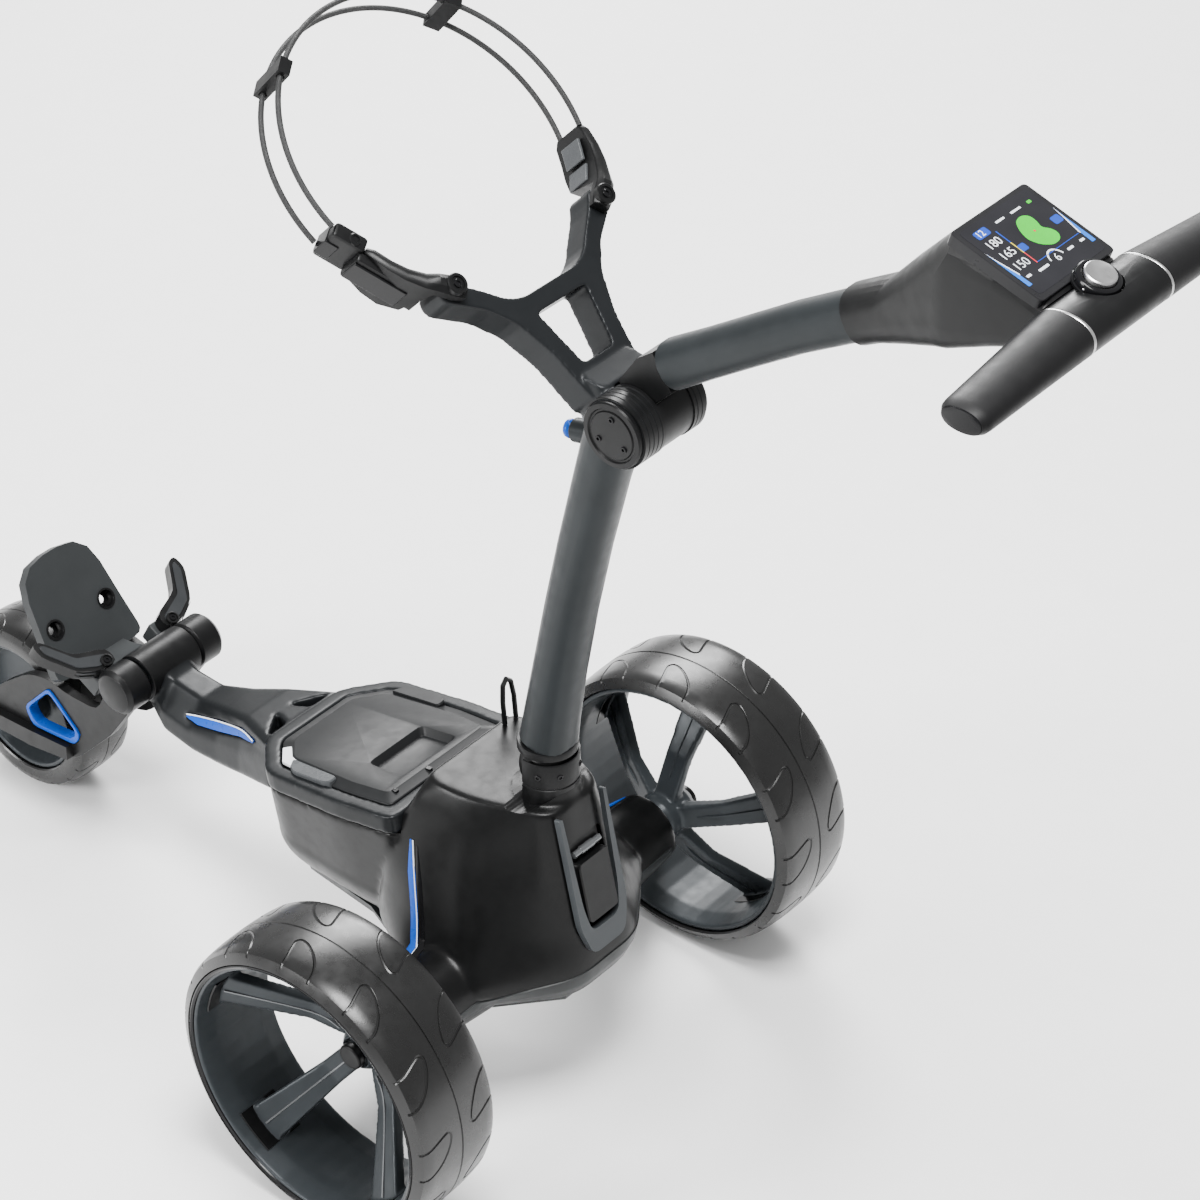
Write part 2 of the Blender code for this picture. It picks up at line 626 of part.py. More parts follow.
# ---------------------------------------------------------------- front fork and wheel
def fork_outline():
    y, z = BARREL
    axle_y, axle_z = FRONT_AXLE
    return rounded([(y + 0.010, z - 0.020), (y + 0.012, z + 0.004), (y - 0.017, z - 0.005),
                    (-0.470, 0.162), (-0.512, 0.161), (-0.534, 0.1665), (-0.562, 0.159), (-0.602, 0.128),
                    (axle_y - 0.020, axle_z + 0.012), (axle_y - 0.014, axle_z - 0.019),
                    (-0.560, 0.074), (-0.505, 0.088), (-0.455, 0.140)], 0.010, 2)


def window_outline(offset=0.0):
    corners = [(-0.534, 0.152 + offset), (-0.565 - offset, 0.119), (-0.556 - offset, 0.105 - offset),
               (-0.508 + offset, 0.110 - offset), (-0.500 + offset, 0.121)]
    return rounded(corners, 0.006, 2)


def build_front():
    fold = pivot("fork_axis", (0, *BARREL))
    for side, sign in (("left", 1), ("right", -1)):
        leg = plate("fork_leg_" + side, BLACK, fork_outline(), 0.009, side_plane(sign * 0.0455),
                    [window_outline(0.0048)])
        end = rod("barrel_end_" + side, BLACK, BARREL_RADIUS, (sign * (SLEEVE_HALF + GAP), *BARREL),
                  (sign * BARREL_HALF, *BARREL), 32, 0.004)
        bar = loft("fork_bar_" + side, BLACK, [
            [(sign * x, y, z) for x, z in ((0.046, zl), (0.0575, zl), (0.0575, zh), (0.046, zh))]
            for y, zl, zh in ((-0.620, 0.078, 0.095), (-0.560, 0.080, 0.0985), (-0.510, 0.088, 0.1030))])
        join(leg, end, bar)
        cut(leg, rod("fork_pin_seat_" + side, None, AXLE_RADIUS + 0.0003, (sign * 0.02, *BARREL),
                     (sign * 0.0555, *BARREL), 24),
            rod("front_axle_seat_" + side, None, AXLE_RADIUS - 0.0007, (sign * 0.03, *FRONT_AXLE),
                (sign * 0.0530, *FRONT_AXLE), 24))
        trim = plate("fork_trim_" + side, BLUE, window_outline(0.0044), 0.011, side_plane(sign * 0.0465),
                     [window_outline(0.0)])
        for obj in (leg, trim):
            hang(obj, fold)
    pin = rod("fork_pin", STEEL, AXLE_RADIUS, (-0.055, *BARREL), (0.055, *BARREL), 24)
    axle = rod("front_axle", STEEL, AXLE_RADIUS - 0.001, (-0.0525, *FRONT_AXLE), (0.0525, *FRONT_AXLE), 24)
    for obj in (pin, axle):
        hang(obj, fold)
    spin = pivot("front_wheel_axis", (0, *FRONT_AXLE))
    w = FRONT_HALF_WIDTH
    tyre = turned("front_tyre", RUBBER, [(0.0664, w - 0.003), (0.0664, -w + 0.003), (0.072, -w), (0.0810, -w + 0.003),
                                         (0.0860, -w + 0.014), (0.0880, 0), (0.0860, w - 0.014),
                                         (0.0810, w - 0.003), (0.072, w)], (0, *FRONT_AXLE), steps=36)
    rim = turned("front_rim", GREY, [(0.0660, w - 0.003), (0.0620, w - 0.004), (0.0560, 0.010), (0.0220, 0.010),
                                     (0.0180, 0.036), (0.0054, 0.036), (0.0054, -0.036), (0.0180, -0.036),
                                     (0.0220, -0.010), (0.0560, -0.010), (0.0620, -w + 0.004),
                                     (0.0660, -w + 0.003)], (0, *FRONT_AXLE), steps=36)
    for obj in (tyre, rim):
        hang(obj, spin)


# ---------------------------------------------------------------- lower bag rest
def lower_plane(along=0.0, out=0.0):
    """Plane of the lower bag plate: outline y runs up it, and the normal faces the rear."""
    up = Vector((0, -0.5220, 0.8530))
    out_way = Vector((0, 0.8530, 0.5220))
    centre = Vector((0, *PLATE_BASE)) + along * up + out * out_way
    return frame_at(centre, (1, 0, 0), up)


def lower_arm_plane(sign, out=0.0):
    """Plane of a lower bag arm at its pivot: outline y runs forwards and up, the normal up and back."""
    forwards, normal = Vector((0, -0.871, 0.492)), Vector((0, 0.492, 0.871))
    return frame_at(Vector((sign * LOWER_PIVOT_X, *LOWER_PIVOT)) + out * normal, (1, 0, 0), forwards)


def build_lower_rest():
    outline = rounded([(-0.054, 0.0, 0.010), (0.054, 0.0, 0.010), (0.048, 0.045, 0.02), (0.041, 0.1105, 0.045),
                       (-0.041, 0.1105, 0.045), (-0.048, 0.045, 0.02)], 0.02, 3)
    holes = [circle(0.0088, (sign * 0.032, 0.0452), 16) for sign in (1, -1)]
    panel = plate("lower_bag_plate", GREY, outline, 0.011, lower_plane(0, -0.0045), holes)
    cradle = loft("plate_cradle", GREY, [
        [(x, y + a, z + b) for x, a, b in ((0.030, 0, 0.004), (-0.030, 0, 0.004), (-0.030, 0, -0.004),
                                           (0.030, 0, -0.004))]
        for y, z in ((-0.5190, 0.1710), (-0.500, 0.1735), (-0.484, 0.1795), (-0.4600, 0.1920))])
    seats = []
    for side, sign in (("left", 1), ("right", -1)):
        seat = box("arm_seat_" + side, GREY, (0.026, 0.024, 0.022), lower_arm_plane(sign, -0.0255)
                   @ Vector((-sign * 0.0012, 0, 0)), 0.0, 0.002)
        seat.rotation_euler = lower_arm_plane(sign).to_euler()
        seats.append(seat)
    join(panel, cradle, *seats)
    # The casting's end is shaped round the fork's barrel.
    cut(panel, rod("barrel_space", None, BARREL_RADIUS + GAP, (-0.09, *BARREL), (0.09, *BARREL), 48))
    for side, sign in (("left", 1), ("right", -1)):
        axis = pivot("lower_arm_axis_" + side, (sign * LOWER_PIVOT_X, *LOWER_PIVOT))
        arm_outline = rounded([(-0.010, -0.0045), (0.010, -0.0045), (0.030, 0.006), (0.049, 0.036),
                               (0.048, 0.050), (0.040, 0.049), (0.022, 0.022), (-0.009, 0.011)], 0.006, 2)
        arm = plate("lower_bag_arm_" + side, BLACK, [(sign * x, y) for x, y in arm_outline], 0.0138,
                    lower_arm_plane(sign, -0.0069), bevel=0.0015)
        hang(arm, axis)


# ---------------------------------------------------------------- mast, hinge and bag bracket
def mast_centre(z):
    """y of the mast's gently curved centre line at height z."""
    t = (z - 0.345) / 0.36
    return 0.0275 + 0.052 * t + 0.0235 * t * t


def mast_ring(z, half, ahead=0.0):
    slope = (mast_centre(z + 0.001) - mast_centre(z - 0.001)) / 0.002
    place = frame_at((0, mast_centre(z), z), (1, 0, 0), (0, 1, -slope))
    return ring_at(place, oval(half, half * 1.03, 2.5, 24))


def bracket_plane(out=0.0):
    """Outline y runs forwards and up from the bag arms' pivot line; the normal faces rear and up."""
    up = Vector((0, -0.7340, 0.6791))
    way = Vector((0, 0.6791, 0.7340))
    return frame_at(Vector((0, *BRACKET_TOP)) + out * way, (1, 0, 0), up)


def build_mast():
    fold = pivot("mast_axis", (0, *MAST_PIVOT))
    levels = [(0.3535, 0.0225), (0.380, 0.0215), (0.43, MAST_RADIUS), (0.50, 0.0200), (0.57, 0.0200),
              (0.64, MAST_RADIUS), (0.690, 0.0215)]
    tube = loft("mast_tube", GREY, [mast_ring(z, half) for z, half in levels])
    boss = rod("button_boss", GREY, 0.0098, (0, 0.0880, 0.6753), (0, 0.0585, 0.6684), 28, 0.0015)
    bore = rod("button_bore", None, 0.0075, (0, 0.0730, 0.6718), (0, 0.0450, 0.6653), 28)
    cut(join(tube, boss), bore)
    foot = rod("mast_foot", BLACK, COLLAR_RADIUS, (-0.0262, *MAST_PIVOT), (0.0262, *MAST_PIVOT), 28, 0.002)
    collar = loft("mast_collar", BLACK, [ring_at(frame_at((0, y, z), (1, 0, 0), (0, 1, -0.14)),
                                                 oval(half, half, 2.3, 24))
                                         for y, z, half in ((0.0268, 0.322, 0.0245), (0.0278, 0.3530, 0.0250))])
    join(foot, collar)
    neck = loft("hinge_neck", GREY, [
        mast_ring(0.6904, 0.0235), *[ring_at(frame_at((0, y, z), (1, 0, 0), (0, 1, -0.2)), oval(w, d, 4.5, 24))
                                     for y, z, w, d in ((0.1055, 0.706, 0.0285, 0.0265), (0.101, 0.728, 0.0290, 0.0215),
                                                        (0.098, 0.742, 0.0280, 0.012))]])
    leg = lambda s: [(s * 0.066, -0.026), (s * 0.049, -0.047), (s * 0.0365, -0.080),
                     (s * 0.0290, -0.128)]
    inner = [(0.030, -0.0325), (0.044, -0.027), (0.058, -0.014), (0.074, 0.0)]
    end = [(ARM_PIVOT_X + 0.0112 * math.cos(math.radians(a)), 0.0112 * math.sin(math.radians(a)))
           for a in (-75, -45, -15, 15, 45, 75, 105)]
    half = leg(1)[::-1] + end + inner[::-1]
    outline = half + [(-x, y) for x, y in reversed(half)]
    windows = [rounded([(-0.0275, -0.048), (0.0275, -0.048), (0.017, -0.098), (-0.017, -0.098)], 0.004, 2),
               rounded([(-0.0145, -0.1095), (0.0145, -0.1095), (0.0125, -0.1195), (-0.0125, -0.1195)], 0.003, 2)]
    bracket = plate("bag_bracket", GREY, rounded(outline, 0.004, 1), BRACKET_THICK,
                    bracket_plane(0.003 - BRACKET_THICK / 2), windows)
    barrel = rod("hinge_barrel", GREY, HINGE_RADIUS, (-HINGE_RIGHT, *HINGE), (HINGE_LEFT, *HINGE), 32)
    join(bracket, neck, barrel)
    cut(bracket, rod("knuckle_space", None, 0.0305, (-KNUCKLE_HALF - GAP, *HINGE), (KNUCKLE_HALF + GAP, *HINGE), 32),
        box("knuckle_way", None, (2 * (KNUCKLE_HALF + GAP), 0.06, 0.09), (0, HINGE[0] + 0.0295, HINGE[1] + 0.03)))
    pin = rod("hinge_pin", STEEL, 0.008, (-HINGE_RIGHT + 0.004, *HINGE), (HINGE_LEFT - 0.004, *HINGE), 24)
    cut(bracket, rod("hinge_pin_seat", None, 0.008 + GAP, (-0.06, *HINGE), (0.06, *HINGE), 24))
    for obj in (tube, foot, bracket, pin):
        hang(obj, fold)
    for side, end in (("left", HINGE_LEFT), ("right", -HINGE_RIGHT)):
        cap = rod("hinge_cap_" + side, BLACK, 0.0275, (end + math.copysign(GAP, end), *HINGE),
                  (end + math.copysign(0.0050, end), *HINGE), 32, 0.0012)
        hang(cap, fold)
    button_axis = pivot("hinge_button_axis", (0, 0.0580, 0.6683), fold)
    button = rod("hinge_button", BLUE, 0.0070, (0, 0.0530, 0.6672), (0, 0.0680, 0.6707), 24, 0.0015)
    hang(button, button_axis)
    build_bag_arms()
    build_bungees(fold)


ARM_PATH = [                 # x, distance up the bracket's plane, heading (degrees), half thickness,
    (0.0780, -0.0055, 38, 0.0075, 0.0035, 0.0100),   # lower and upper edge over the bracket's plane
    (0.0850, 0.0000, 38, 0.0086, 0.0035, 0.0110),
    (0.0957, 0.0088, 42, 0.0075, 0.0035, 0.0105),
    (0.1020, 0.0150, 46, 0.0062, -0.0340, 0.0070),
    (0.1105, 0.0265, 56, 0.0052, -0.0410, 0.0035),
    (0.1165, 0.0390, 66, 0.0045, -0.0420, 0.0005),
    (0.1205, 0.0530, 74, 0.0038, -0.0410, -0.0030),
    (0.1215, 0.0585, 76, 0.0026, -0.0370, -0.0070),
]


def build_bag_arms():
    """Two tall curved arms that reach round the bag and hold the bungee cords at their tips."""
    for side, sign in (("left", 1), ("right", -1)):
        axis = pivot("upper_arm_axis_" + side, (sign * ARM_PIVOT_X, *BRACKET_TOP))
        rings = []
        for x, along, heading, half, low, high in ARM_PATH:
            across = Vector((-math.sin(math.radians(heading)), math.cos(math.radians(heading))))
            ring = []
            for reach, height in ((half, low), (half, high), (half * 0.4, high + half * 0.4),
                                  (-half * 0.4, high + half * 0.4), (-half, high), (-half, low)):
                point = Vector((x, along)) + across * reach
                ring.append(bracket_plane(height) @ Vector((sign * point.x, point.y, 0)))
            rings.append(ring)
        arm = loft("upper_bag_arm_" + side, BLACK, rings)
        if side == "left":
            # The buckle that lets the left arm's cords go.
            heading = math.radians(58)
            turned_by = Matrix.Translation((0.1285, 0.0695, 0)) @ Matrix.Rotation(heading, 4, "Z")
            for name, size, where in (("buckle_block", (0.028, 0.013, 0.036), (0.0015, 0.0015, 0)),
                                      ("buckle_lever", (0.050, 0.009, 0.030), (-0.034, -0.0075, 0))):
                piece = box(name, BLACK, size, (0, 0, 0), 0.0, 0.003)
                place = bracket_plane(-0.021) @ turned_by @ Matrix.Translation(where)
                piece.location, piece.rotation_euler = place.translation, place.to_euler()
                join(arm, piece)
        hang(arm, axis)


def loop_point(turn, lift):
    """A point of the bungee loop: turn 0 is beside the left arm, pi beside the right one."""
    leftwards, forwards = Vector((0.9949, -0.0736, 0.0685)), Vector((-0.1002, -0.7846, 0.6119))
    stack = Vector((0, 0.679, 0.734))
    radius = BUNGEE_LOOP * (1 + 0.03 * math.cos(turn))
    return Vector(BUNGEE_CENTRE) + radius * (leftwards * math.cos(turn) + forwards * math.sin(turn)) \
        + stack * lift


def build_bungees(fold):
    """Two elastic cords side by side, each one curve from the left arm's tip to the right one's."""
    start, end, steps = math.radians(-12), math.radians(190.5), 20
    for name, lift in (("bungee_lower", -BUNGEE_GAP / 2), ("bungee_upper", BUNGEE_GAP / 2)):
        points = [loop_point(start + (end - start) * i / steps, lift) for i in range(steps + 1)]
        hang(wire(name, CORD, points, BUNGEE_RADIUS, 1), fold)
    for name, turn in (("bungee_clip_left", math.radians(46)), ("bungee_clip_right", math.radians(130))):
        low, high = loop_point(turn, -BUNGEE_GAP / 2), loop_point(turn, BUNGEE_GAP / 2)
        middle, across = (low + high) / 2, (high - low).normalized()
        clip = box(name, BLACK, (0.010, 0.014, 0.040), middle)
        ahead = loop_point(turn + 0.02, 0) - loop_point(turn - 0.02, 0)
        clip.rotation_euler = frame_at((0, 0, 0), across.cross(ahead), ahead).to_euler()
        for number, lift in enumerate((-BUNGEE_GAP / 2, BUNGEE_GAP / 2)):
            run = [loop_point(turn + math.radians(step), lift) for step in (-9, -3, 3, 9)]
            cut(clip, wire(f"{name}_bore_{number}", None, run, BUNGEE_RADIUS + 3 * GAP, 1))
        hang(clip, fold)


# ---------------------------------------------------------------- handle, console and grips
def handle_ring(y, z, rise, half_x, half_n, power=2.4):
    """A section across the handle, whose centre line here rises at this angle (degrees)."""
    a = math.radians(rise)
    place = frame_at((0, y, z), (1, 0, 0), (0, -math.sin(a), math.cos(a)))
    return ring_at(place, oval(half_x, half_n, power, 24))


def build_handle():
    fold = pivot("handle_axis", (0, *HINGE))
    knuckle = rod("handle_knuckle", BLACK, 0.0285, (-KNUCKLE_HALF, *HINGE), (KNUCKLE_HALF, *HINGE), 32)
    block = loft("knuckle_arm", BLACK, [
        [(x, y + a, z + b) for x, a, b in ((w, -0.5 * t * 0.56, 0.5 * t * 0.83), (-w, -0.5 * t * 0.56, 0.5 * t * 0.83),
                                           (-w, 0.5 * t * 0.56, -0.5 * t * 0.83), (w, 0.5 * t * 0.56, -0.5 * t * 0.83))]
        for y, z, w, t in ((0.126, 0.728, KNUCKLE_HALF, 0.040), (0.142, 0.756, KNUCKLE_HALF, 0.036),
                           (0.1560, 0.7680, KNUCKLE_HALF, 0.034))])
    cut(join(knuckle, block), rod("knuckle_bore", None, 0.008 + GAP, (-0.06, *HINGE), (0.06, *HINGE), 24))
    tube = loft("handle_tube", GREY, [
        handle_ring(0.1566, 0.7690, 35.5, 0.0205, 0.0195),
        handle_ring(0.1880, 0.7905, 35.0, 0.0200, 0.0187),
        handle_ring(0.2300, 0.8195, 34.5, 0.0200, 0.0186),
        handle_ring(0.2700, 0.8465, 33.0, 0.0200, 0.0186),
        handle_ring(0.3220, 0.8785, 30.5, 0.0205, 0.0190)])
    console = loft("console_housing", BLACK, [
        handle_ring(0.3225, 0.8789, 30.5, 0.0235, 0.0220), console_ring(0.347, 0.9190, 0.8680, 0.0255, 2.6),
        console_ring(0.375, 0.9520, 0.8810, 0.0320, 3.2), console_ring(0.405, 0.9850, 0.8960, 0.0400, 4.5),
        console_ring(0.4180, 0.9965, 0.9030, 0.0440, 6.0), console_ring(0.455, 0.9860, 0.9210, 0.0450, 6.0),
        console_ring(0.4940, 0.9740, 0.9370, 0.0445, 5.0), console_ring(0.5100, 0.9680, 0.9480, 0.0440, 4.0)])
    core = loft("tbar_core", BLACK, [tbar_ring(x, 0, 1.0) for x in (-TBAR_HALF, -0.02, 0.02, TBAR_HALF)])
    space = loft("tbar_space", None, [tbar_ring(x, 0, 1.03) for x in (-0.06, 0.06)])
    cut(console, space)
    glass_place = frame_at((0, *SCREEN_CENTRE), (1, 0, 0), (0, math.cos(SCREEN_TILT), -math.sin(SCREEN_TILT)))
    pocket = plate("screen_pocket", None, rounded([(-0.0395, -0.0355), (0.0395, -0.0355), (0.0395, 0.0355),
                                                   (-0.0395, 0.0355)], 0.004, 2), 0.006, glass_place)
    cut(console, pocket)
    glass = plate("screen_glass", GLASS, rounded([(-0.0391, -0.0351), (0.0391, -0.0351), (0.0391, 0.0351),
                                                  (-0.0391, 0.0351)], 0.004, 2), 0.0022,
                  glass_place @ Matrix.Translation((0, 0, 0.0011)))
    for obj in (knuckle, tube, console, core, glass):
        hang(obj, fold)
    for side, sign in (("left", 1), ("right", -1)):
        rings = []
        for share in (0.0, 0.06, 0.5, 0.93, 1.0):
            x = TBAR_HALF + 0.0032 + share * (GRIP_END_X - TBAR_HALF - 0.0032)
            scale = 1.0 - 0.20 * share if share < 0.95 else 0.72
            rings.append(tbar_ring(sign * x, share, scale))
        hang(loft("grip_" + side, GRIP, rings), fold)
    build_dial(core)


def console_ring(y, top, bottom, half, power):
    place = frame_at((0, y, (top + bottom) / 2), (1, 0, 0), (0, 0, 1))
    return ring_at(place, oval(half, (top - bottom) / 2, power, 24))


def tbar_ring(x, share, scale):
    """The T-bar's flattened section at this x; share runs from its middle to a grip's end."""
    place = frame_at((x, TBAR[0] + 0.004 * share, TBAR[1] - 0.004 * share), (0, 1, 0), (0, 0, 1))
    flatter = 1.0 - 0.18 * share
    return ring_at(place, oval(TBAR_DEEP * scale, TBAR_HIGH * scale * flatter, 2.2, 24))


def build_dial(core):
    """The speed dial stands on the T-bar, with its push button in the middle."""
    up = Vector((0, math.sin(SCREEN_TILT), math.cos(SCREEN_TILT)))
    base = Vector((0, 0.5075, 0.9745))
    axis = pivot("dial_axis", base)
    ring = rod("speed_dial", BLACK, 0.0175, base, base + 0.0085 * up, 28, 0.0012)
    well = rod("dial_well", None, 0.0180, base - 0.0004 * up, base + 0.03 * up, 40)
    space = rod("dial_button_space", None, 0.0124, base - 0.0028 * up, base + 0.01 * up, 40)
    bore = rod("dial_bore", None, 0.0124, base - 0.001 * up, base + 0.02 * up, 40)
    cut(ring, bore)
    cut(core, well, space)
    button = rod("dial_button", STEEL, 0.0120, base + 0.0004 * up, base + 0.0115 * up, 32, 0.0010)
    hang(ring, axis)
    hang(button, pivot("dial_button_axis", (0, 0, 0), axis))


# ---------------------------------------------------------------- umbrella loop
def build_loop():
    """The wire loop that holds a towel, on the shelf behind the battery."""
    side = [(0.0070, -0.0530, 0.3026), (0.0070, -0.0550, 0.3250), (0.0050, -0.0565, 0.3400)]
    points = side + [(0, -0.0570, 0.3450)] + [(-x, y, z) for x, y, z in reversed(side)]
    wire("towel_loop", BLACK, [(x - 0.045, y, z) for x, y, z in points], 0.0024, 1)


build_battery()
build_housing()
build_stripes()
build_latch()
build_frame()
build_drive()
for wheel_side, wheel_sign in (("left", 1), ("right", -1)):
    build_rear_wheel(wheel_side, wheel_sign)
build_front()
build_lower_rest()
build_mast()
build_handle()
build_loop()
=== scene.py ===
import json
import math

import bmesh
import bpy
from mathutils import Matrix, Vector
from mathutils.bvhtree import BVHTree

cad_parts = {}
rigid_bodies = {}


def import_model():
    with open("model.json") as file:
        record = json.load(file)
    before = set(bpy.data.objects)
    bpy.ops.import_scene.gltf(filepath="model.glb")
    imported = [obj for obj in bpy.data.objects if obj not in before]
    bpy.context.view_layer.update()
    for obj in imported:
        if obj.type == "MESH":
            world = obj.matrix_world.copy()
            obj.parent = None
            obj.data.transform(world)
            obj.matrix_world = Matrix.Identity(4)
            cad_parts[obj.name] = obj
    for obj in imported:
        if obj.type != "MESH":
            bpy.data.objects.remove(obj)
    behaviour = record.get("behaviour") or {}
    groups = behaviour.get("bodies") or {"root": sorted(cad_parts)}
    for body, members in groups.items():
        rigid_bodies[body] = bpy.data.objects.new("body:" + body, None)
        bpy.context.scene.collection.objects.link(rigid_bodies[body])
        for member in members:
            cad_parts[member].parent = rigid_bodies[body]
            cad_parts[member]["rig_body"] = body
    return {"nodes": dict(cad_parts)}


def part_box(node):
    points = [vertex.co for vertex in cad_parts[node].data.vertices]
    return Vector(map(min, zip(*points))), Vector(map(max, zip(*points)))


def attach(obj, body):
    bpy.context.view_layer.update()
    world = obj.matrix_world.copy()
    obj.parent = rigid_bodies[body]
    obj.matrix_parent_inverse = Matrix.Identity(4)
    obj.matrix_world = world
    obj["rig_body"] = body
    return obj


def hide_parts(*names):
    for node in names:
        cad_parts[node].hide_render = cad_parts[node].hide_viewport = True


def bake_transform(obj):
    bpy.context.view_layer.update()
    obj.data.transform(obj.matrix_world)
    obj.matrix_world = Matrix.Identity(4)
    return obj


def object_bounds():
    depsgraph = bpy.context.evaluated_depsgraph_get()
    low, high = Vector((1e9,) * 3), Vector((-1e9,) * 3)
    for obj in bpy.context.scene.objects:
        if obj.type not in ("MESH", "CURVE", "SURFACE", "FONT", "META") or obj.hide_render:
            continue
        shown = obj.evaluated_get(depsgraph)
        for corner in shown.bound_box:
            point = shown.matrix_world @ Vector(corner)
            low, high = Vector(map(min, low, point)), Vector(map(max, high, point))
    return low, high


for leftover in list(bpy.data.objects):
    bpy.data.objects.remove(leftover)
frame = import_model()
cad_low, cad_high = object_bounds()
nodes = frame["nodes"]


def middle_of(node):
    low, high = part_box(node)
    return (low + high) / 2


# The trolley's own frame has its origin on the ground under the drive axle.
AXLE = Vector((0, middle_of("drive_axle_left").y, 0))
WHEEL_Z = middle_of("drive_axle_left").z
TYRE_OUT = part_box("rear_tyre_left")[1].x
TILT = math.radians(9.8)                    # the battery's slope towards the front
TRAY_REAR = Vector((0, -0.087, 0.2645))
SCREEN_TILT = math.radians(17.1)
SCREEN_CENTRE = Vector((0, 0.4555, 0.9862))
TBAR = middle_of("tbar_core") - AXLE
PLATE_BASE = Vector((0, -0.5155, 0.171))
LOWER_PIVOT_X, LOWER_PIVOT = 0.0417, (-0.4608, 0.2174)
TBAR_DEEP, TBAR_HIGH = 0.0235, 0.0160
HINGE = middle_of("hinge_pin") - AXLE
STRIPE_BEARING = (19.0, -5.0, 1.5)          # bearing of the stripe at its top and bottom, and its bow


# ---------------------------------------------------------------- materials
def shader(name):
    mat = bpy.data.materials.new(name)
    mat.use_nodes = True
    tree = mat.node_tree
    return mat, tree, tree.nodes["Principled BSDF"]


def node(tree, kind, **settings):
    made = tree.nodes.new(kind)
    for key, value in settings.items():
        setattr(made, key, value)
    return made


def noise(tree, coords, scale, detail=3.0, stretch=(1, 1, 1)):
    mapping = node(tree, "ShaderNodeMapping")
    mapping.inputs["Scale"].default_value = stretch
    made = node(tree, "ShaderNodeTexNoise")
    made.inputs["Scale"].default_value = scale
    made.inputs["Detail"].default_value = detail
    tree.links.new(coords, mapping.inputs["Vector"])
    tree.links.new(mapping.outputs["Vector"], made.inputs["Vector"])
    return made.outputs["Fac"]


def ranged(tree, value, low, high, at_low=0.3, at_high=0.7):
    made = node(tree, "ShaderNodeMapRange")
    for key, number in (("From Min", at_low), ("From Max", at_high), ("To Min", low), ("To Max", high)):
        made.inputs[key].default_value = number
    tree.links.new(value, made.inputs["Value"])
    return made.outputs["Result"]


def mixed(tree, factor, a, b):
    made = node(tree, "ShaderNodeMix", data_type="RGBA")
    tree.links.new(factor, made.inputs["Factor"])
    for key, colour in (("A", a), ("B", b)):
        socket = [s for s in made.inputs if s.name == key and s.type == "RGBA"][0]
        if isinstance(colour, tuple):
            socket.default_value = (*colour, 1)
        else:
            tree.links.new(colour, socket)
    return [s for s in made.outputs if s.type == "RGBA"][0]


def bumped(tree, bsdf, height, distance, strength):
    bump = node(tree, "ShaderNodeBump")
    bump.inputs["Distance"].default_value = distance
    bump.inputs["Strength"].default_value = strength
    tree.links.new(height, bump.inputs["Height"])
    tree.links.new(bump.outputs["Normal"], bsdf.inputs["Normal"])


def moulded(name, colour, rough, spread=0.06, grain=900.0, depth=0.00006, strength=0.35, mottle=0.16,
            metallic=0.0, coat=0.0, stretch=(1, 1, 1), specular=0.15):
    """Moulded or painted surface: slow colour drift, uneven gloss and a fine grain."""
    mat, tree, bsdf = shader(name)
    coords = node(tree, "ShaderNodeTexCoord").outputs["Object"]
    drift = ranged(tree, noise(tree, coords, 22, 4), 0, 1)
    dark = tuple(c * (1 - mottle) for c in colour)
    light = tuple(c * (1 + mottle) for c in colour)
    tree.links.new(mixed(tree, drift, dark, light), bsdf.inputs["Base Color"])
    wear = ranged(tree, noise(tree, coords, 90, 5), rough - spread, rough + spread)
    tree.links.new(wear, bsdf.inputs["Roughness"])
    bsdf.inputs["Metallic"].default_value = metallic
    bsdf.inputs["Specular IOR Level"].default_value = 0.5 if metallic == 1 else specular
    bsdf.inputs["Coat Weight"].default_value = coat
    bsdf.inputs["Coat Roughness"].default_value = 0.15
    bumped(tree, bsdf, noise(tree, coords, grain, 2, stretch), depth, strength)
    return mat


def woven(name, colour, pitch):
    """Braided cord: fine slanted bands in two directions."""
    mat, tree, bsdf = shader(name)
    coords = node(tree, "ShaderNodeTexCoord").outputs["Object"]
    bands = []
    for turn in (0.9, -0.9):
        mapping = node(tree, "ShaderNodeMapping")
        mapping.inputs["Rotation"].default_value = (turn, turn, turn)
        wave = node(tree, "ShaderNodeTexWave")
        wave.inputs["Scale"].default_value = pitch
        tree.links.new(coords, mapping.inputs["Vector"])
        tree.links.new(mapping.outputs["Vector"], wave.inputs["Vector"])
        bands.append(wave.outputs["Fac"])
    most = node(tree, "ShaderNodeMath", operation="MAXIMUM")
    tree.links.new(bands[0], most.inputs[0])
    tree.links.new(bands[1], most.inputs[1])
    dark = tuple(c * 0.55 for c in colour)
    tree.links.new(mixed(tree, most.outputs[0], dark, colour), bsdf.inputs["Base Color"])
    tree.links.new(ranged(tree, noise(tree, coords, 300), 0.5, 0.7), bsdf.inputs["Roughness"])
    bumped(tree, bsdf, most.outputs[0], 0.0002, 0.6)
    return mat


def glowing(name, colour, strength):
    """A lit area of the screen, with the faint unevenness of a backlight."""
    mat, tree, bsdf = shader(name)
    coords = node(tree, "ShaderNodeTexCoord").outputs["Object"]
    drift = ranged(tree, noise(tree, coords, 60, 3), 0, 1)
    shade = mixed(tree, drift, tuple(c * 0.88 for c in colour), colour)
    tree.links.new(shade, bsdf.inputs["Base Color"])
    tree.links.new(shade, bsdf.inputs["Emission Color"])
    bsdf.inputs["Emission Strength"].default_value = strength
    tree.links.new(ranged(tree, noise(tree, coords, 200), 0.18, 0.26), bsdf.inputs["Roughness"])
    return mat


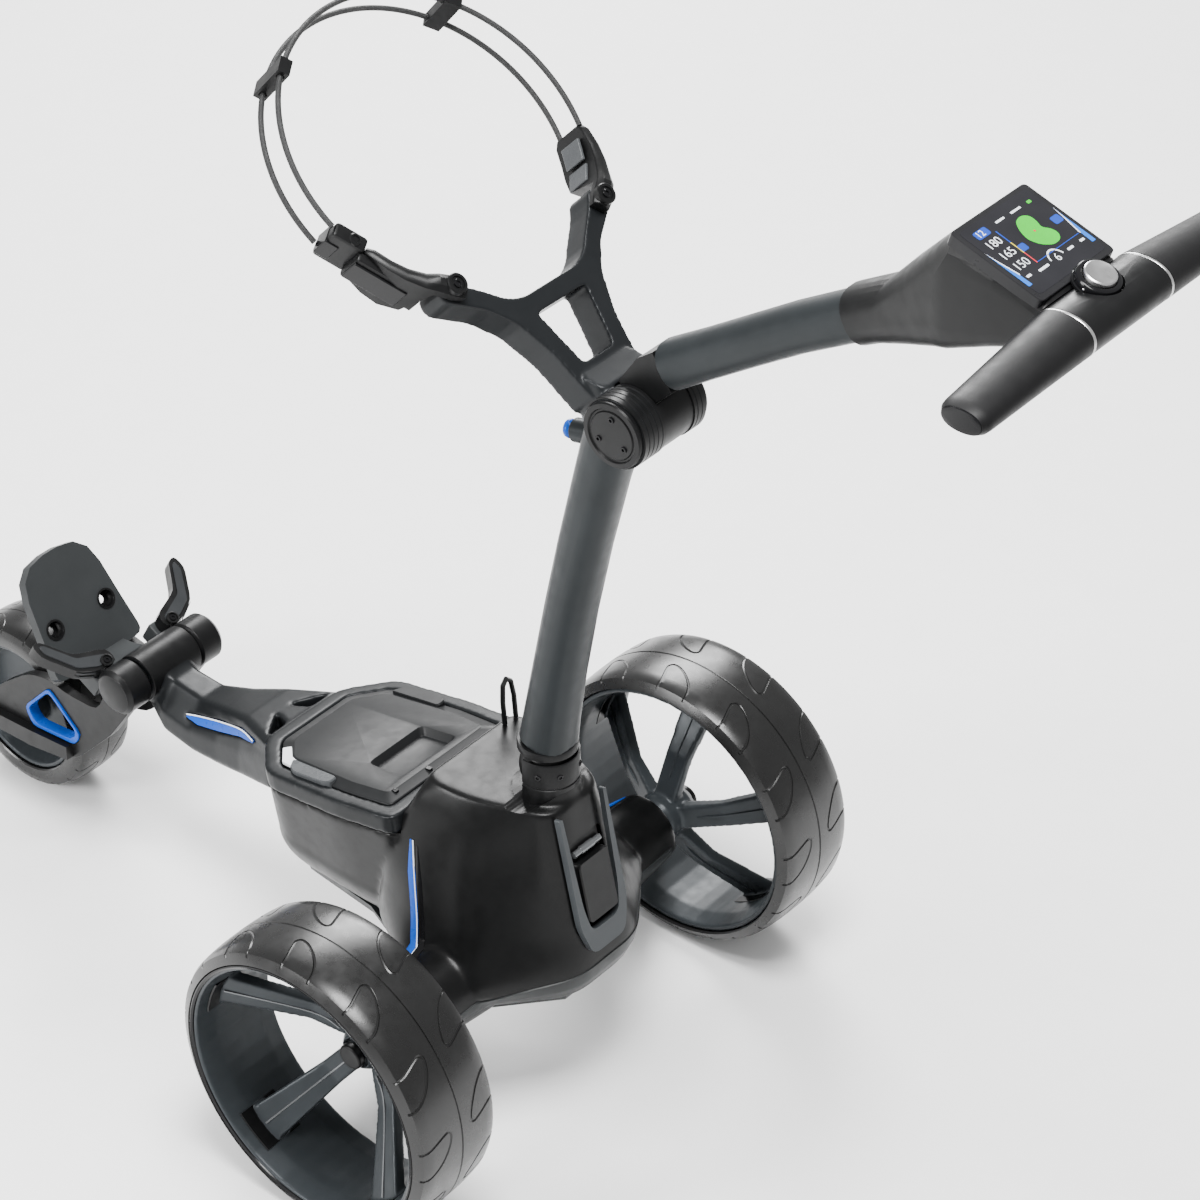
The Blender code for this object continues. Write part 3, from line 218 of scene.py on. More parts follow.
HOUSING = moulded("housing_plastic", (0.0030, 0.0031, 0.0032), 0.33, 0.05, 1400, 0.00004, 0.22)
BLACK = moulded("satin_black", (0.0040, 0.0041, 0.0043), 0.36, 0.06, 1500, 0.00004, 0.3)
GLOSS = moulded("gloss_black", (0.0045, 0.0045, 0.0050), 0.14, 0.04, 500, 0.00001, 0.1)
PAINT = moulded("graphite_paint", (0.0145, 0.0170, 0.0185), 0.38, 0.05, 2600, 0.00003, 0.3, 0.10,
                metallic=0.25)
WHEEL_PAINT = moulded("wheel_graphite", (0.0300, 0.0345, 0.0380), 0.36, 0.05, 2200, 0.00003, 0.3, 0.10,
                      metallic=0.2)
RUBBER = moulded("tyre_rubber", (0.0040, 0.0040, 0.0040), 0.29, 0.04, 700, 0.00006, 0.3, 0.2, specular=0.42)
BLUE = moulded("blue_trim", (0.0030, 0.0600, 0.3600), 0.30, 0.05, 1500, 0.00002, 0.2, 0.08)
WHITE = moulded("white_trim", (0.70, 0.72, 0.74), 0.28, 0.05, 1500, 0.00002, 0.2, 0.05)
STEEL = moulded("brushed_steel", (0.42, 0.42, 0.43), 0.28, 0.08, 300, 0.00002, 0.3, 0.1, 1.0, 0, (1, 12, 12))
FRAME_GREY = moulded("latch_grey", (0.0360, 0.0400, 0.0430), 0.36, 0.05, 2200, 0.00003, 0.3, 0.10)
PLATE_GREY = moulded("plate_grey", (0.0230, 0.0250, 0.0260), 0.46, 0.05, 1300, 0.00006, 0.35, 0.08)
LEDGE = moulded("arm_ledge", (0.0200, 0.0215, 0.0230), 0.34, 0.05, 1300, 0.00004, 0.3)
SILVER = moulded("satin_silver", (0.50, 0.50, 0.50), 0.28, 0.06, 260, 0.00002, 0.3, 0.08, 1.0, 0, (14, 1, 1))
GRIP = moulded("grip_rubber", (0.0045, 0.0045, 0.0048), 0.46, 0.05, 2300, 0.00008, 0.5, 0.12)
LID = moulded("battery_plastic", (0.0088, 0.0093, 0.0098), 0.40, 0.05, 1100, 0.00005, 0.35)
SKIRT = moulded("skirt_plastic", (0.0140, 0.0155, 0.0160), 0.40, 0.05, 1300, 0.00005, 0.3)
ARM_PAINT = moulded("arm_paint", (0.0075, 0.0084, 0.0092), 0.34, 0.05, 2200, 0.00003, 0.3, 0.10, metallic=0.2)
BRACKET = moulded("bracket_paint", (0.0085, 0.0095, 0.0105), 0.36, 0.05, 2200, 0.00003, 0.3, 0.10,
                  metallic=0.2)
BOARD = moulded("circuit_board", (0.02, 0.12, 0.05), 0.45, 0.08, 400, 0.00008, 0.4, 0.3)
PAD = moulded("pad_rubber", (0.0500, 0.0530, 0.0560), 0.28, 0.06, 900, 0.00004, 0.3)
CORD = woven("elastic_cord", (0.0045, 0.0047, 0.0050), 900)
LCD = moulded("screen_black", (0.012, 0.012, 0.014), 0.10, 0.03, 300, 0.000005, 0.1)
SCREEN_WHITE = glowing("screen_white", (0.55, 0.57, 0.60), 0.5)
SCREEN_BLUE = glowing("screen_blue", (0.004, 0.035, 0.26), 0.6)
SCREEN_SKY = glowing("screen_sky", (0.005, 0.100, 0.42), 0.6)
SCREEN_GREEN = glowing("screen_green", (0.010, 0.330, 0.010), 0.8)
SCREEN_RED = glowing("screen_red", (0.40, 0.02, 0.03), 0.6)
SCREEN_YELLOW = glowing("screen_yellow", (0.42, 0.34, 0.03), 0.6)
# a lighter metallic grey: on the spokes' outboard ridges it is a painted highlight, on the latch roller it is
# the roller's own metal
HIGHLIGHT_AND_ROLLER_GREY = moulded("spoke_highlight_and_roller_grey", (0.1300, 0.1350, 0.1400), 0.24, 0.05, 1500, 0.00002, 0.2, 0.08, metallic=0.6)
BEZEL = moulded("screen_bezel", (0.010, 0.010, 0.011), 0.30, 0.04, 900, 0.00002, 0.2)


# ---------------------------------------------------------------- mesh helpers
def body_of(node_name):
    return nodes[node_name]["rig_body"]


def linked(name, data):
    """A new object in the scene."""
    obj = bpy.data.objects.new(name, data)
    bpy.context.scene.collection.objects.link(obj)
    return obj


def evaluated_mesh(obj):
    """A new mesh of the object with its modifiers or its bevel."""
    bpy.context.view_layer.update()
    return bpy.data.meshes.new_from_object(obj.evaluated_get(bpy.context.evaluated_depsgraph_get()))


def mesh_from(name, bm):
    mesh = bpy.data.meshes.new(name)
    bm.to_mesh(mesh)
    bm.free()
    return mesh


def world_mesh(name, bm):
    """Moves a closed shape from the trolley's frame to the world's, with its faces pointing out."""
    bmesh.ops.recalc_face_normals(bm, faces=bm.faces)
    bmesh.ops.translate(bm, vec=AXLE, verts=bm.verts)
    return mesh_from(name, bm)


def mesh_of(name, bm):
    """A solid given in the trolley's frame, with no material and on no body."""
    return linked(name, world_mesh(name, bm))


def new_piece(name, bm, mat, body, sharp=35):
    """A mesh given in the trolley's frame becomes a piece that rides on a body."""
    return dressed(name, world_mesh(name, bm), mat, body, sharp)


def lofted(name, rings, mat, body, sharp=35):
    return new_piece(name, loft_mesh(rings), mat, body, sharp)


def dressed(name, mesh, mat, body, sharp=35):
    mesh.materials.clear()
    mesh.materials.append(mat)
    mesh.shade_smooth()
    if sharp is not None:
        mesh.set_sharp_from_angle(angle=math.radians(sharp))
    obj = linked(name, mesh)
    if body:
        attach(obj, body)
    return obj


def welded_copy(node_name, dissolve=True):
    bm = bmesh.new()
    bm.from_mesh(nodes[node_name].data)
    bmesh.ops.remove_doubles(bm, verts=bm.verts, dist=4e-6)
    if dissolve:
        bmesh.ops.dissolve_limit(bm, angle_limit=math.radians(0.6), verts=bm.verts, edges=bm.edges)
    return bm


def applied(obj):
    """Bakes an object's modifiers into its mesh."""
    mesh = evaluated_mesh(obj)
    old = obj.data
    obj.modifiers.clear()
    obj.data = mesh
    bpy.data.meshes.remove(old)


def modifier(obj, kind, **settings):
    made = obj.modifiers.new(kind.lower(), kind)
    for key, value in settings.items():
        setattr(made, key, value)
    return made


def cad_form(node_name, mat, dissolve=True):
    """A copy of the CAD part's mesh, to be refined."""
    mesh = mesh_from(node_name + "_form", welded_copy(node_name, dissolve))
    return dressed(node_name + "_form", mesh, mat, body_of(node_name), None)


def crisp(node_name, mat, width=0.0008, segments=2, angle=32):
    """The CAD part with its edges rounded: it stands for the node."""
    obj = cad_form(node_name, mat)
    modifier(obj, "BEVEL", width=width, segments=segments, limit_method="ANGLE",
             angle_limit=math.radians(angle), use_clamp_overlap=True)
    modifier(obj, "WEIGHTED_NORMAL", keep_sharp=True, weight=60)
    applied(obj)
    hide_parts(node_name)


def flowing(node_name, mat, voxel=0.002, passes=6, strength=0.5):
    """The CAD part with softly blended edges and fillets: it stands for the node."""
    obj = cad_form(node_name, mat, False)
    modifier(obj, "REMESH", mode="VOXEL", voxel_size=voxel, use_smooth_shade=True)
    modifier(obj, "SMOOTH", factor=strength, iterations=passes)
    applied(obj)
    obj.data.shade_smooth()
    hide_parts(node_name)


def painted(node_name, mat):
    """Gives a CAD node that stays as it is its real material."""
    obj = nodes[node_name]
    obj.data.materials.clear()
    obj.data.materials.append(mat)


def lathe(name, profile, centre, mat, body, steps=96, axis="X", closed=True, sharp=35):
    """Sweeps (radius, distance along the axis) points once round an axis through centre."""
    bm = bmesh.new()
    rings = []
    for i in range(steps):
        turn = 2 * math.pi * i / steps
        c, s = math.cos(turn), math.sin(turn)
        ring = []
        for radius, along in profile:
            local = {"X": (along, radius * c, radius * s), "Z": (radius * c, radius * s, along)}[axis]
            ring.append(bm.verts.new(local))
        rings.append(ring)
    count = len(profile)
    for i in range(steps):
        for k in range(count if closed else count - 1):
            m = (k + 1) % count
            corners = [rings[i][k], rings[i][m], rings[(i + 1) % steps][m], rings[(i + 1) % steps][k]]
            bm.faces.new(corners)
    bmesh.ops.remove_doubles(bm, verts=bm.verts, dist=1e-7)
    if isinstance(centre, Matrix):
        bmesh.ops.transform(bm, matrix=centre, verts=bm.verts)
    else:
        bmesh.ops.translate(bm, vec=centre, verts=bm.verts)
    return new_piece(name, bm, mat, body, sharp)


def frame_at(centre, u, v):
    u, v = Vector(u).normalized(), Vector(v).normalized()
    w = u.cross(v).normalized()
    v = w.cross(u)
    return Matrix(((u.x, v.x, w.x, centre[0]), (u.y, v.y, w.y, centre[1]),
                   (u.z, v.z, w.z, centre[2]), (0, 0, 0, 1)))


def aimed(centre, way):
    """A frame at centre whose Z points along way."""
    way = Vector(way).normalized()
    side = Vector((1, 0, 0)) if abs(way.x) < 0.9 else Vector((0, 1, 0))
    return frame_at(centre, side.cross(way).cross(way) * -1, way.cross(side.cross(way).cross(way) * -1))


def oval(half_u, half_v, power=2.4, count=48):
    found = []
    for i in range(count):
        turn = 2 * math.pi * (i + 0.5) / count
        c, s = math.cos(turn), math.sin(turn)
        found.append((math.copysign(abs(c) ** (2 / power), c) * half_u,
                      math.copysign(abs(s) ** (2 / power), s) * half_v))
    return found


def loft_mesh(rings, caps=True):
    bm = bmesh.new()
    loops = [[bm.verts.new(point) for point in ring] for ring in rings]
    count = len(loops[0])
    for near, far in zip(loops, loops[1:]):
        for i in range(count):
            j = (i + 1) % count
            bm.faces.new((near[i], near[j], far[j], far[i]))
    if caps:
        bm.faces.new(list(reversed(loops[0])))
        bm.faces.new(loops[-1])
    return bm


def rounded(points, radius, steps=4):
    found = []
    for i, point in enumerate(points):
        corner = Vector(point[:2])
        before = (Vector(points[i - 1][:2]) - corner)
        after = (Vector(points[(i + 1) % len(points)][:2]) - corner)
        reach = min(radius, before.length * 0.49, after.length * 0.49)
        a, b = corner + before.normalized() * reach, corner + after.normalized() * reach
        for k in range(steps + 1):
            t = k / steps
            found.append(((1 - t) ** 2 * a + 2 * t * (1 - t) * corner + t * t * b)[:])
    return found


def on_plane(place, outline, up=0.0):
    """An outline's points at a height over a plane."""
    return [place @ Vector((x, y, up)) for x, y in outline]


def slab(name, outline, low, high, place, mat, body, edge=0.0004):
    """A flat outline between two heights of a plane, with softened top edges."""
    centre = sum((Vector(p) for p in outline), Vector((0, 0))) / len(outline)
    inner = [tuple(Vector(p) + (centre - Vector(p)).normalized() * edge) for p in outline]
    rings = [on_plane(place, outline, low), on_plane(place, outline, high - edge),
             on_plane(place, inner, high)]
    lofted(name, rings, mat, body)


def round_bar_mesh(name, points, radius, resolution, cyclic=False):
    """The mesh of a round bar along points of the world."""
    curve = bpy.data.curves.new(name, "CURVE")
    curve.dimensions = "3D"
    curve.bevel_depth = radius
    curve.bevel_resolution = resolution
    curve.use_fill_caps = True
    spline = curve.splines.new("POLY")
    spline.points.add(len(points) - 1)
    for place, point in zip(spline.points, points):
        place.co = (*point, 1)
    spline.use_cyclic_u = cyclic
    guide = linked(name + "_line", curve)
    mesh = evaluated_mesh(guide)
    bpy.data.objects.remove(guide)
    return mesh


def tube(name, points, radius, mat, body):
    """A round tube along points, as a piece."""
    mesh = round_bar_mesh(name, [Vector(point) + AXLE for point in points], radius, 3)
    return dressed(name, mesh, mat, body, 60)


def screw(name, centre, way, radius, body, mat=BLACK):
    """A screw head with a round socket, standing on a face."""
    place = aimed(centre, way)
    profile = [(0.0, -0.0004), (radius, -0.0004), (radius, 0.0009), (radius * 0.86, 0.0013),
               (radius * 0.52, 0.0013), (radius * 0.48, 0.0002), (0.0, 0.0002)]
    lathe(name, profile, place, mat, body, 24, "Z", False, 30)


# ---------------------------------------------------------------- wheels
TREADS = 12                     # tongue-shaped grooves on each side of a tyre


def curve_through(points, per_span=6):
    """Catmull-Rom points through these."""
    found = []
    for i in range(len(points) - 1):
        p0, p1 = Vector(points[max(i - 1, 0)]), Vector(points[i])
        p2, p3 = Vector(points[i + 1]), Vector(points[min(i + 2, len(points) - 1)])
        for k in range(per_span):
            t = k / per_span
            found.append(0.5 * ((2 * p1) + (p2 - p0) * t + (2 * p0 - 5 * p1 + 4 * p2 - p3) * t * t
                                + (3 * p1 - p0 - 3 * p2 + p3) * t ** 3))
    return found + [Vector(points[-1])]


def crown(a, radius, half):
    """Radius of the tread at distance a from the tyre's middle."""
    share = min(abs(a) / half, 1)
    return radius - 0.0042 * share ** 2.6 - 0.0085 * max(0, share - 0.86) ** 1.5 / 0.14 ** 1.5


def tread_cutters(name, centre, radius, half, count, groove):
    """Round bars that cut the middle groove and the tongue-shaped grooves."""
    tongue = [(-0.22, 0.94), (-0.19, 0.74), (-0.08, 0.52), (0.10, 0.33), (0.25, 0.26), (0.31, 0.33),
              (0.28, 0.50), (0.22, 0.74), (0.20, 0.94)]
    pitch = 2 * math.pi / count
    lines = []
    ring = [(0.0, 2 * math.pi * i / 120) for i in range(120)]
    lines.append((ring, True, groove * 0.9))
    for side in (1, -1):
        for i in range(count):
            start = pitch * (i + (0.5 if side < 0 else 0.0))
            path = curve_through([(u, v) for u, v in tongue], 5)
            lines.append(([(side * v * half, start + side * u * pitch) for u, v in path], False, groove))
    bms = bmesh.new()
    for line, cyclic, width in lines:
        points = []
        for a, turn in line:
            r = crown(a, radius, half) + 0.0002
            points.append((centre.x + a, centre.y + r * math.cos(turn), centre.z + r * math.sin(turn)))
        mesh = round_bar_mesh(name, points, width, 1, cyclic)
        bms.from_mesh(mesh)
        bpy.data.meshes.remove(mesh)
    bmesh.ops.remove_doubles(bms, verts=bms.verts, dist=1e-6)
    bmesh.ops.recalc_face_normals(bms, faces=bms.faces)
    return linked(name, mesh_from(name, bms))


def tyre(name, node_name, seat, count, groove):
    """A grooved tyre in the place of its CAD ring."""
    low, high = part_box(node_name)
    centre, half, radius = (low + high) / 2 - AXLE, (high.x - low.x) / 2, (high.z - low.z) / 2
    steps = [0.08, 0.2, 0.35, 0.5, 0.65, 0.8, 0.9, 0.97, 1]
    steps = [-s for s in reversed(steps)] + steps
    profile = [(crown(s * half, radius, half), s * half) for s in steps]
    profile += [(seat + 0.0016, half * 0.985), (seat + 0.0004, half * 0.95),
                (seat + 0.0004, -half * 0.95), (seat + 0.0016, -half * 0.985)]
    made = lathe(name, profile, centre, RUBBER, body_of(node_name), 180, sharp=40)
    cutter = tread_cutters(name + "_cutter", centre + AXLE, radius, half, count, groove)
    modifier(made, "BOOLEAN", operation="DIFFERENCE", solver="EXACT", object=cutter)
    applied(made)
    bpy.data.objects.remove(cutter)
    made.data.shade_smooth()
    made.data.set_sharp_from_angle(angle=math.radians(32))
    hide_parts(node_name)


SPOKES, SPOKE_START = 5, math.radians(-1)
# radius, x and half thickness along a spoke
SPOKE_LINE = ((0.030, 0.2000, 0.0060), (0.055, 0.2085, 0.0045), (0.1155, 0.2513, 0.0045))


def spoke_details(side, sign, body):
    """A slim ridge down both faces of each spoke, the outboard one lighter as a painted highlight, and a pad
    where it meets the barrel.
    """
    for i in range(SPOKES):
        angle = 2 * math.pi * i / SPOKES + SPOKE_START
        turn = Matrix.Translation((0, 0, WHEEL_Z)) @ Matrix.Rotation(angle, 4, "X")
        # the outboard ridge is drawn lighter than the wheel: a painted highlight along it
        for face, way, mat in (("out", 1, HIGHLIGHT_AND_ROLLER_GREY), ("in", -1, WHEEL_PAINT)):
            rings = []
            for k in range(13):
                radius, x, thick = through(SPOKE_LINE, k / 12)
                t = way * thick
                rings.append([turn @ Vector((sign * (x + t + way * up), w, radius - 0.6 * (t + way * up)))
                              for w, up in ((-0.0014, -0.0008), (-0.0007, 0.0010), (0.0007, 0.0010),
                                            (0.0014, -0.0008))])
            lofted(f"spoke_ridge_{side}_{face}_{i}", rings, mat, body, 60)
        rings = []
        for k in range(13):
            bend = math.radians(-9.5 + 19 * k / 12)
            rings.append([turn @ Vector((sign * x, r * math.sin(bend), r * math.cos(bend)))
                          for r, x in ((0.1156, 0.2300), (0.1143, 0.2306), (0.1143, 0.2694),
                                       (0.1156, 0.2700))])
        lofted(f"spoke_pad_{side}_{i}", rings, BLACK, body, 60)


def rear_wheels():
    for side, sign in (("left", 1), ("right", -1)):
        body = "rear_wheel_" + side
        tyre("tyre_" + side, "rear_tyre_" + side, 0.1235, TREADS, 0.0014)
        flowing("rear_rim_" + side, WHEEL_PAINT, 0.0016, 6, 0.5)
        painted("drive_axle_" + side, STEEL)
        crisp("wheel_release_" + side, BLACK, 0.0008)
        spoke_details(side, sign, body)
        outer = sign * (TYRE_OUT - 0.0004)
        bead = [(0.1236, outer - sign * 0.004), (0.1236, outer), (0.1225, outer + sign * 0.0004),
                (0.1205, outer - sign * 0.0006), (0.1192, outer - sign * 0.004)]
        lathe("rim_bead_" + side, bead, Vector((0, 0, WHEEL_Z)), GLOSS, body, 144)


def front_wheel():
    tyre("tyre_front", "front_tyre", 0.0660, 10, 0.0009)
    flowing("front_rim", WHEEL_PAINT, 0.0012, 4, 0.5)


# ---------------------------------------------------------------- the housing and its fittings
MAST_PIVOT = Vector((0, 0.0275, 0.326))
RIM, RIM_DEPTH = 0.016, 0.018             # the tray rim's width and depth round the battery
LATCH_TILT = math.atan(0.2222)
SADDLE_RADIUS = 0.0266                    # the hollow that the mast's foot turns in


def through(values, share):
    """Catmull-Rom value at share (0 to 1) along a list of tuples."""
    place = share * (len(values) - 1)
    i = min(int(place), len(values) - 2)
    t = place - i
    p0, p1, p2, p3 = (values[min(max(i + k, 0), len(values) - 1)] for k in (-1, 0, 1, 2))
    return [0.5 * (2 * b + (c - a) * t + (2 * a - 5 * b + 4 * c - d) * t * t
                   + (3 * b - a - 3 * c + d) * t ** 3) for a, b, c, d in zip(p0, p1, p2, p3)]


def bar(a, b, radius, far=None):
    """A round bar's mesh from a to b, which may end in another radius."""
    place = aimed(a, Vector(b) - Vector(a))
    long = (Vector(b) - Vector(a)).length
    turns = [2 * math.pi * i / 48 for i in range(48)]
    return loft_mesh([[place @ Vector((r * math.cos(turn), r * math.sin(turn), d)) for turn in turns]
                      for r, d in ((radius, 0), (far or radius, long))])


def block(size, place):
    x, y, z = (v / 2 for v in size)
    return loft_mesh([on_plane(place, ((-x, -y), (x, -y), (x, y), (-x, y)), c) for c in (-z, z)])


def combine(obj, tools, operation):
    for i, bm in enumerate(tools):
        tool = mesh_of(f"tool_{i}", bm)
        modifier(obj, "BOOLEAN", operation=operation, solver="EXACT", object=tool)
        applied(obj)
        bpy.data.objects.remove(tool)


def latch_point(down, out, x=0.0):
    """A point on the rear face: down along it from z = 0.28, out of it, and across."""
    c, s = math.cos(LATCH_TILT), math.sin(LATCH_TILT)
    return Vector((x, 0.063 + down * s + out * c, 0.280 - down * c + out * s))


def latch_place(down=0.0, out=0.0):
    """X across, Y up the rear face, Z out of it."""
    return frame_at(latch_point(down, out), (-1, 0, 0), (0, -math.sin(LATCH_TILT), math.cos(LATCH_TILT)))


def plan_outline(offset):
    return [(x, TRAY_REAR.y + y * math.cos(TILT)) for x, y in battery_outline(offset)]


# z, then half width and y of the rear corner, the shoulder's two ends and the front corner
HOUSING_LEVELS = [
    (0.122, 0.036, 0.083, 0.095, 0.028, 0.098, -0.040, 0.060, -0.120),
    (0.150, 0.038, 0.092, 0.118, 0.034, 0.121, -0.034, 0.070, -0.110),
    (0.190, 0.036, 0.083, 0.096, 0.020, 0.099, -0.040, 0.078, -0.100),
    (0.235, 0.034, 0.073, 0.080, 0.000, 0.083, -0.050, 0.080, -0.090),
    (0.280, 0.033, 0.063, 0.066, -0.010, 0.069, -0.050, 0.070, -0.066),
    (0.302, 0.032, 0.058, 0.055, -0.010, 0.058, -0.045, 0.052, -0.060)]


def housing_shell():
    """The rear body, the bin under the battery, the tower and the axle bosses as one flowing skin."""
    rings = []
    for i in range(37):
        z, *corners = through(HOUSING_LEVELS, i / 36)
        half = [(corners[k], corners[k + 1]) for k in range(0, 8, 2)]
        outline = rounded(half + [(-x, y) for x, y in reversed(half)], 0.020, 5)
        rings.append([Vector((x, y, z)) for x, y in outline])
    lower = [(x * 0.66, max(y * 0.98, -0.246)) for x, y in rounded(plan_outline(0.010), 0.016, 5)]
    middle = [(x * 0.90, y) for x, y in rounded(plan_outline(0.012), 0.016, 5)]
    place = tray_plane(-RIM_DEPTH - 0.0005)
    upper = on_plane(place, rounded(battery_outline(RIM - 0.001), 0.012, 5))
    bottom, tall = 0.122, 0.043
    bin_rings = []
    for i in range(17):
        t = i / 16
        bend = math.sin(t * math.pi / 2)
        bin_rings.append([Vector((x + (far_x - x) * bend, y + (far_y - y) * bend, bottom + tall * t))
                          for (x, y), (far_x, far_y) in zip(lower, middle)])
    bin_rings.append(upper)
    shell = mesh_of("housing_form", loft_mesh(rings))
    combine(shell, [loft_mesh(bin_rings), bar((0, 0.0345, 0.24), (0, 0.0278, 0.3150), 0.0330, 0.0262),
                    bar((0.07, 0, WHEEL_Z), (0.166, 0, WHEEL_Z), 0.041, 0.033),
                    bar((-0.07, 0, WHEEL_Z), (-0.166, 0, WHEEL_Z), 0.041, 0.033)], "UNION")
    modifier(shell, "REMESH", mode="VOXEL", voxel_size=0.0022, use_smooth_shade=True)
    modifier(shell, "SMOOTH", factor=0.5, iterations=13)
    applied(shell)
    return shell


def housing_cuts():
    outline = rounded(battery_outline(RIM + 0.0005), 0.010, 4)
    bay = rounded(battery_outline(0.0012), 0.006, 4)
    low = ((0.052, 0.060), (0.052, -0.235), (-0.052, -0.235), (-0.052, 0.060))
    high = ((0.056, 0.062), (0.052, -0.220), (-0.052, -0.220), (-0.056, 0.062))
    inside = loft_mesh([[Vector((x, y, 0.10)) for x, y in low], [Vector((x, y, 0.172)) for x, y in high]])
    pocket = rounded([(-0.0215, -0.011), (0.0215, -0.011), (0.0215, -0.105), (-0.0215, -0.105)], 0.006, 4)
    return [
        loft_mesh([on_plane(tray_plane(up), outline) for up in (-RIM_DEPTH - 0.0008, 0.12)]),
        loft_mesh([on_plane(tray_plane(up), bay) for up in (-0.062, 0.0)]),
        bar((-0.05, MAST_PIVOT.y, MAST_PIVOT.z), (0.05, MAST_PIVOT.y, MAST_PIVOT.z), SADDLE_RADIUS),
        block((0.080, 0.080, 0.060), Matrix.Translation((0, MAST_PIVOT.y - 0.040, 0.3325))),
        inside,
        bar((-0.20, 0, WHEEL_Z), (0.20, 0, WHEEL_Z), 0.0137),
        loft_mesh([on_plane(latch_place(0, out), pocket) for out in (-0.016, 0.020)]),
    ]


def on_skin(tree, z, x_side, spread):
    """The skin's point and normal beside a wheel, found from outside at this height and bearing."""
    bearing = math.radians(spread)
    way = Vector((-x_side * math.cos(bearing), math.sin(bearing), 0))
    start = Vector((0, -0.030, z)) - way * 0.3 + AXLE
    spot, normal = tree.ray_cast(start, way)[:2]
    return spot - AXLE, normal


def skin_strip(name, tree, side, path, mat, proud, sink=0.0008):
    """A slim strip lying on the skin: path gives height, bearing of the middle and half width."""
    rings = []
    for z, bearing, half in path:
        middle, normal = on_skin(tree, z, side, bearing)
        across = Vector((0, 0, 1)).cross(normal).normalized() * (1 if side > 0 else -1)
        low, high = middle - across * half, middle + across * half
        rings.append([low - normal * sink, low + normal * proud * 0.5, middle + normal * proud,
                      high + normal * proud * 0.5, high - normal * sink])
    return lofted(name, rings, mat, "chassis", 50)


def housing():
    shell = housing_shell()
    tree = BVHTree.FromObject(shell, bpy.context.evaluated_depsgraph_get())
    combine(shell, housing_cuts(), "DIFFERENCE")
    shell.data.materials.clear()
    shell.data.materials.append(HOUSING)
    shell.data.shade_smooth()
    shell.data.set_sharp_from_angle(angle=math.radians(42))
    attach(shell, "chassis")
    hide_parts("main_housing")
    for side, sign in (("left", 1), ("right", -1)):
        top, bottom, bow = STRIPE_BEARING
        path = [(0.249 - 0.091 * i / 16, top + (bottom - top) * i / 16 + bow * math.sin(math.pi * i / 16),
                 0.0008 + 0.0036 * min(1, i / 5)) for i in range(17)]
        stripe = skin_strip("stripe_" + side, tree, sign, path, BLUE, 0.0008)
        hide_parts("side_stripe_" + side)
        line = [(z, bearing - 1.4 - 130 * half, 0.0006) for z, bearing, half in path]
        skin_strip("stripe_line_" + side, tree, sign, line, WHITE, 0.0011)
        groove = [(z - 0.003, bearing - 5.2 - 130 * half, half * 0.75) for z, bearing, half in path]
        skin_strip("stripe_groove_" + side, tree, sign, groove, GLOSS, 0.0004)
    skirt(tree)
    guard()
    crisp("housing_base", SKIRT, 0.0025, 3)
    flowing("chassis_arm", ARM_PAINT, 0.0014, 20, 0.5)
    for side in ("left", "right"):
        crisp("arm_inlay_" + side, BLUE, 0.0003)
        inlay_line(side)
        painted("axle_bearing_" + side, STEEL)
    latch()
    crisp("towel_loop", BLACK, 0.0003)
    for name, mat in (("gearbox", STEEL), ("motor", STEEL), ("controller_board", BOARD),
                      ("battery_connector", BLACK)):
        painted(name, mat)


def skirt(tree):
    """The lighter band round the bottom of the rear body, deepest at the back."""
    rings = []
    for i in range(61):
        bearing = math.radians(12 + 156 * i / 60)
        way = Vector((-math.cos(bearing), -math.sin(bearing), 0))
        deep = 0.0245 * math.sin(math.pi * (0.06 + 0.88 * i / 60)) ** 0.8
        edge = []
        for z in (0.1262, 0.1280, 0.1280 + deep * 0.5, 0.1270 + deep, 0.1280 + deep):
            spot, normal = tree.ray_cast(Vector((0, -0.020, z)) - way * 0.3 + AXLE, way)[:2]
            edge.append((spot - AXLE, normal))
        out = (-0.0008, 0.0010, 0.0012, 0.0010, -0.0008)
        rings.append([spot + normal * rise for (spot, normal), rise in zip(edge, out)])
    lofted("rear_skirt", rings, SKIRT, "chassis", 50)


def inlay_line(side):
    """A thin white line along the upper edge of the arm's blue inlay."""
    stations = {}
    for vert in nodes["arm_inlay_" + side].data.vertices:
        stations.setdefault(round(vert.co.y, 3), []).append(vert.co)
    points = []
    for y in sorted(stations):
        top = max(stations[y], key=lambda co: (round(co.z, 4), abs(co.x)))
        points.append(top - AXLE + Vector((math.copysign(0.0004, top.x), 0, 0.0004)))
    if len(points) > 2:
        tube("inlay_line_" + side, curve_through(points, 4), 0.0007, WHITE, "chassis")


def guard():
    """A raised collar round the rear of the mast's foot, open to the front where the mast folds."""
    rings = []
    for i in range(49):
        turn = math.radians(-12 + 204 * i / 48)
        c, s = math.cos(turn), math.sin(turn)
        section = [(0.0247, 0.2960), (0.0266, 0.2960), (0.0271, 0.3165), (0.0262, 0.3172), (0.0262, 0.3180),
                   (0.0271, 0.3188), (0.0269, 0.3408), (0.0262, 0.3422), (0.0254, 0.3422), (0.0247, 0.3408)]
        rings.append([Vector((r * c, MAST_PIVOT.y + r * s, z)) for r, z in section])
    lofted("mast_guard", rings, BLACK, "chassis", 30)
    for i, turn in enumerate((22, 62, 118, 158)):
        c, s = math.cos(math.radians(turn)), math.sin(math.radians(turn))
        spot = Vector((SADDLE_RADIUS * c, MAST_PIVOT.y + SADDLE_RADIUS * s, 0.3300))
        screw(f"guard_screw_{i}", spot, (c, s, 0), 0.0028, "chassis", GLOSS)


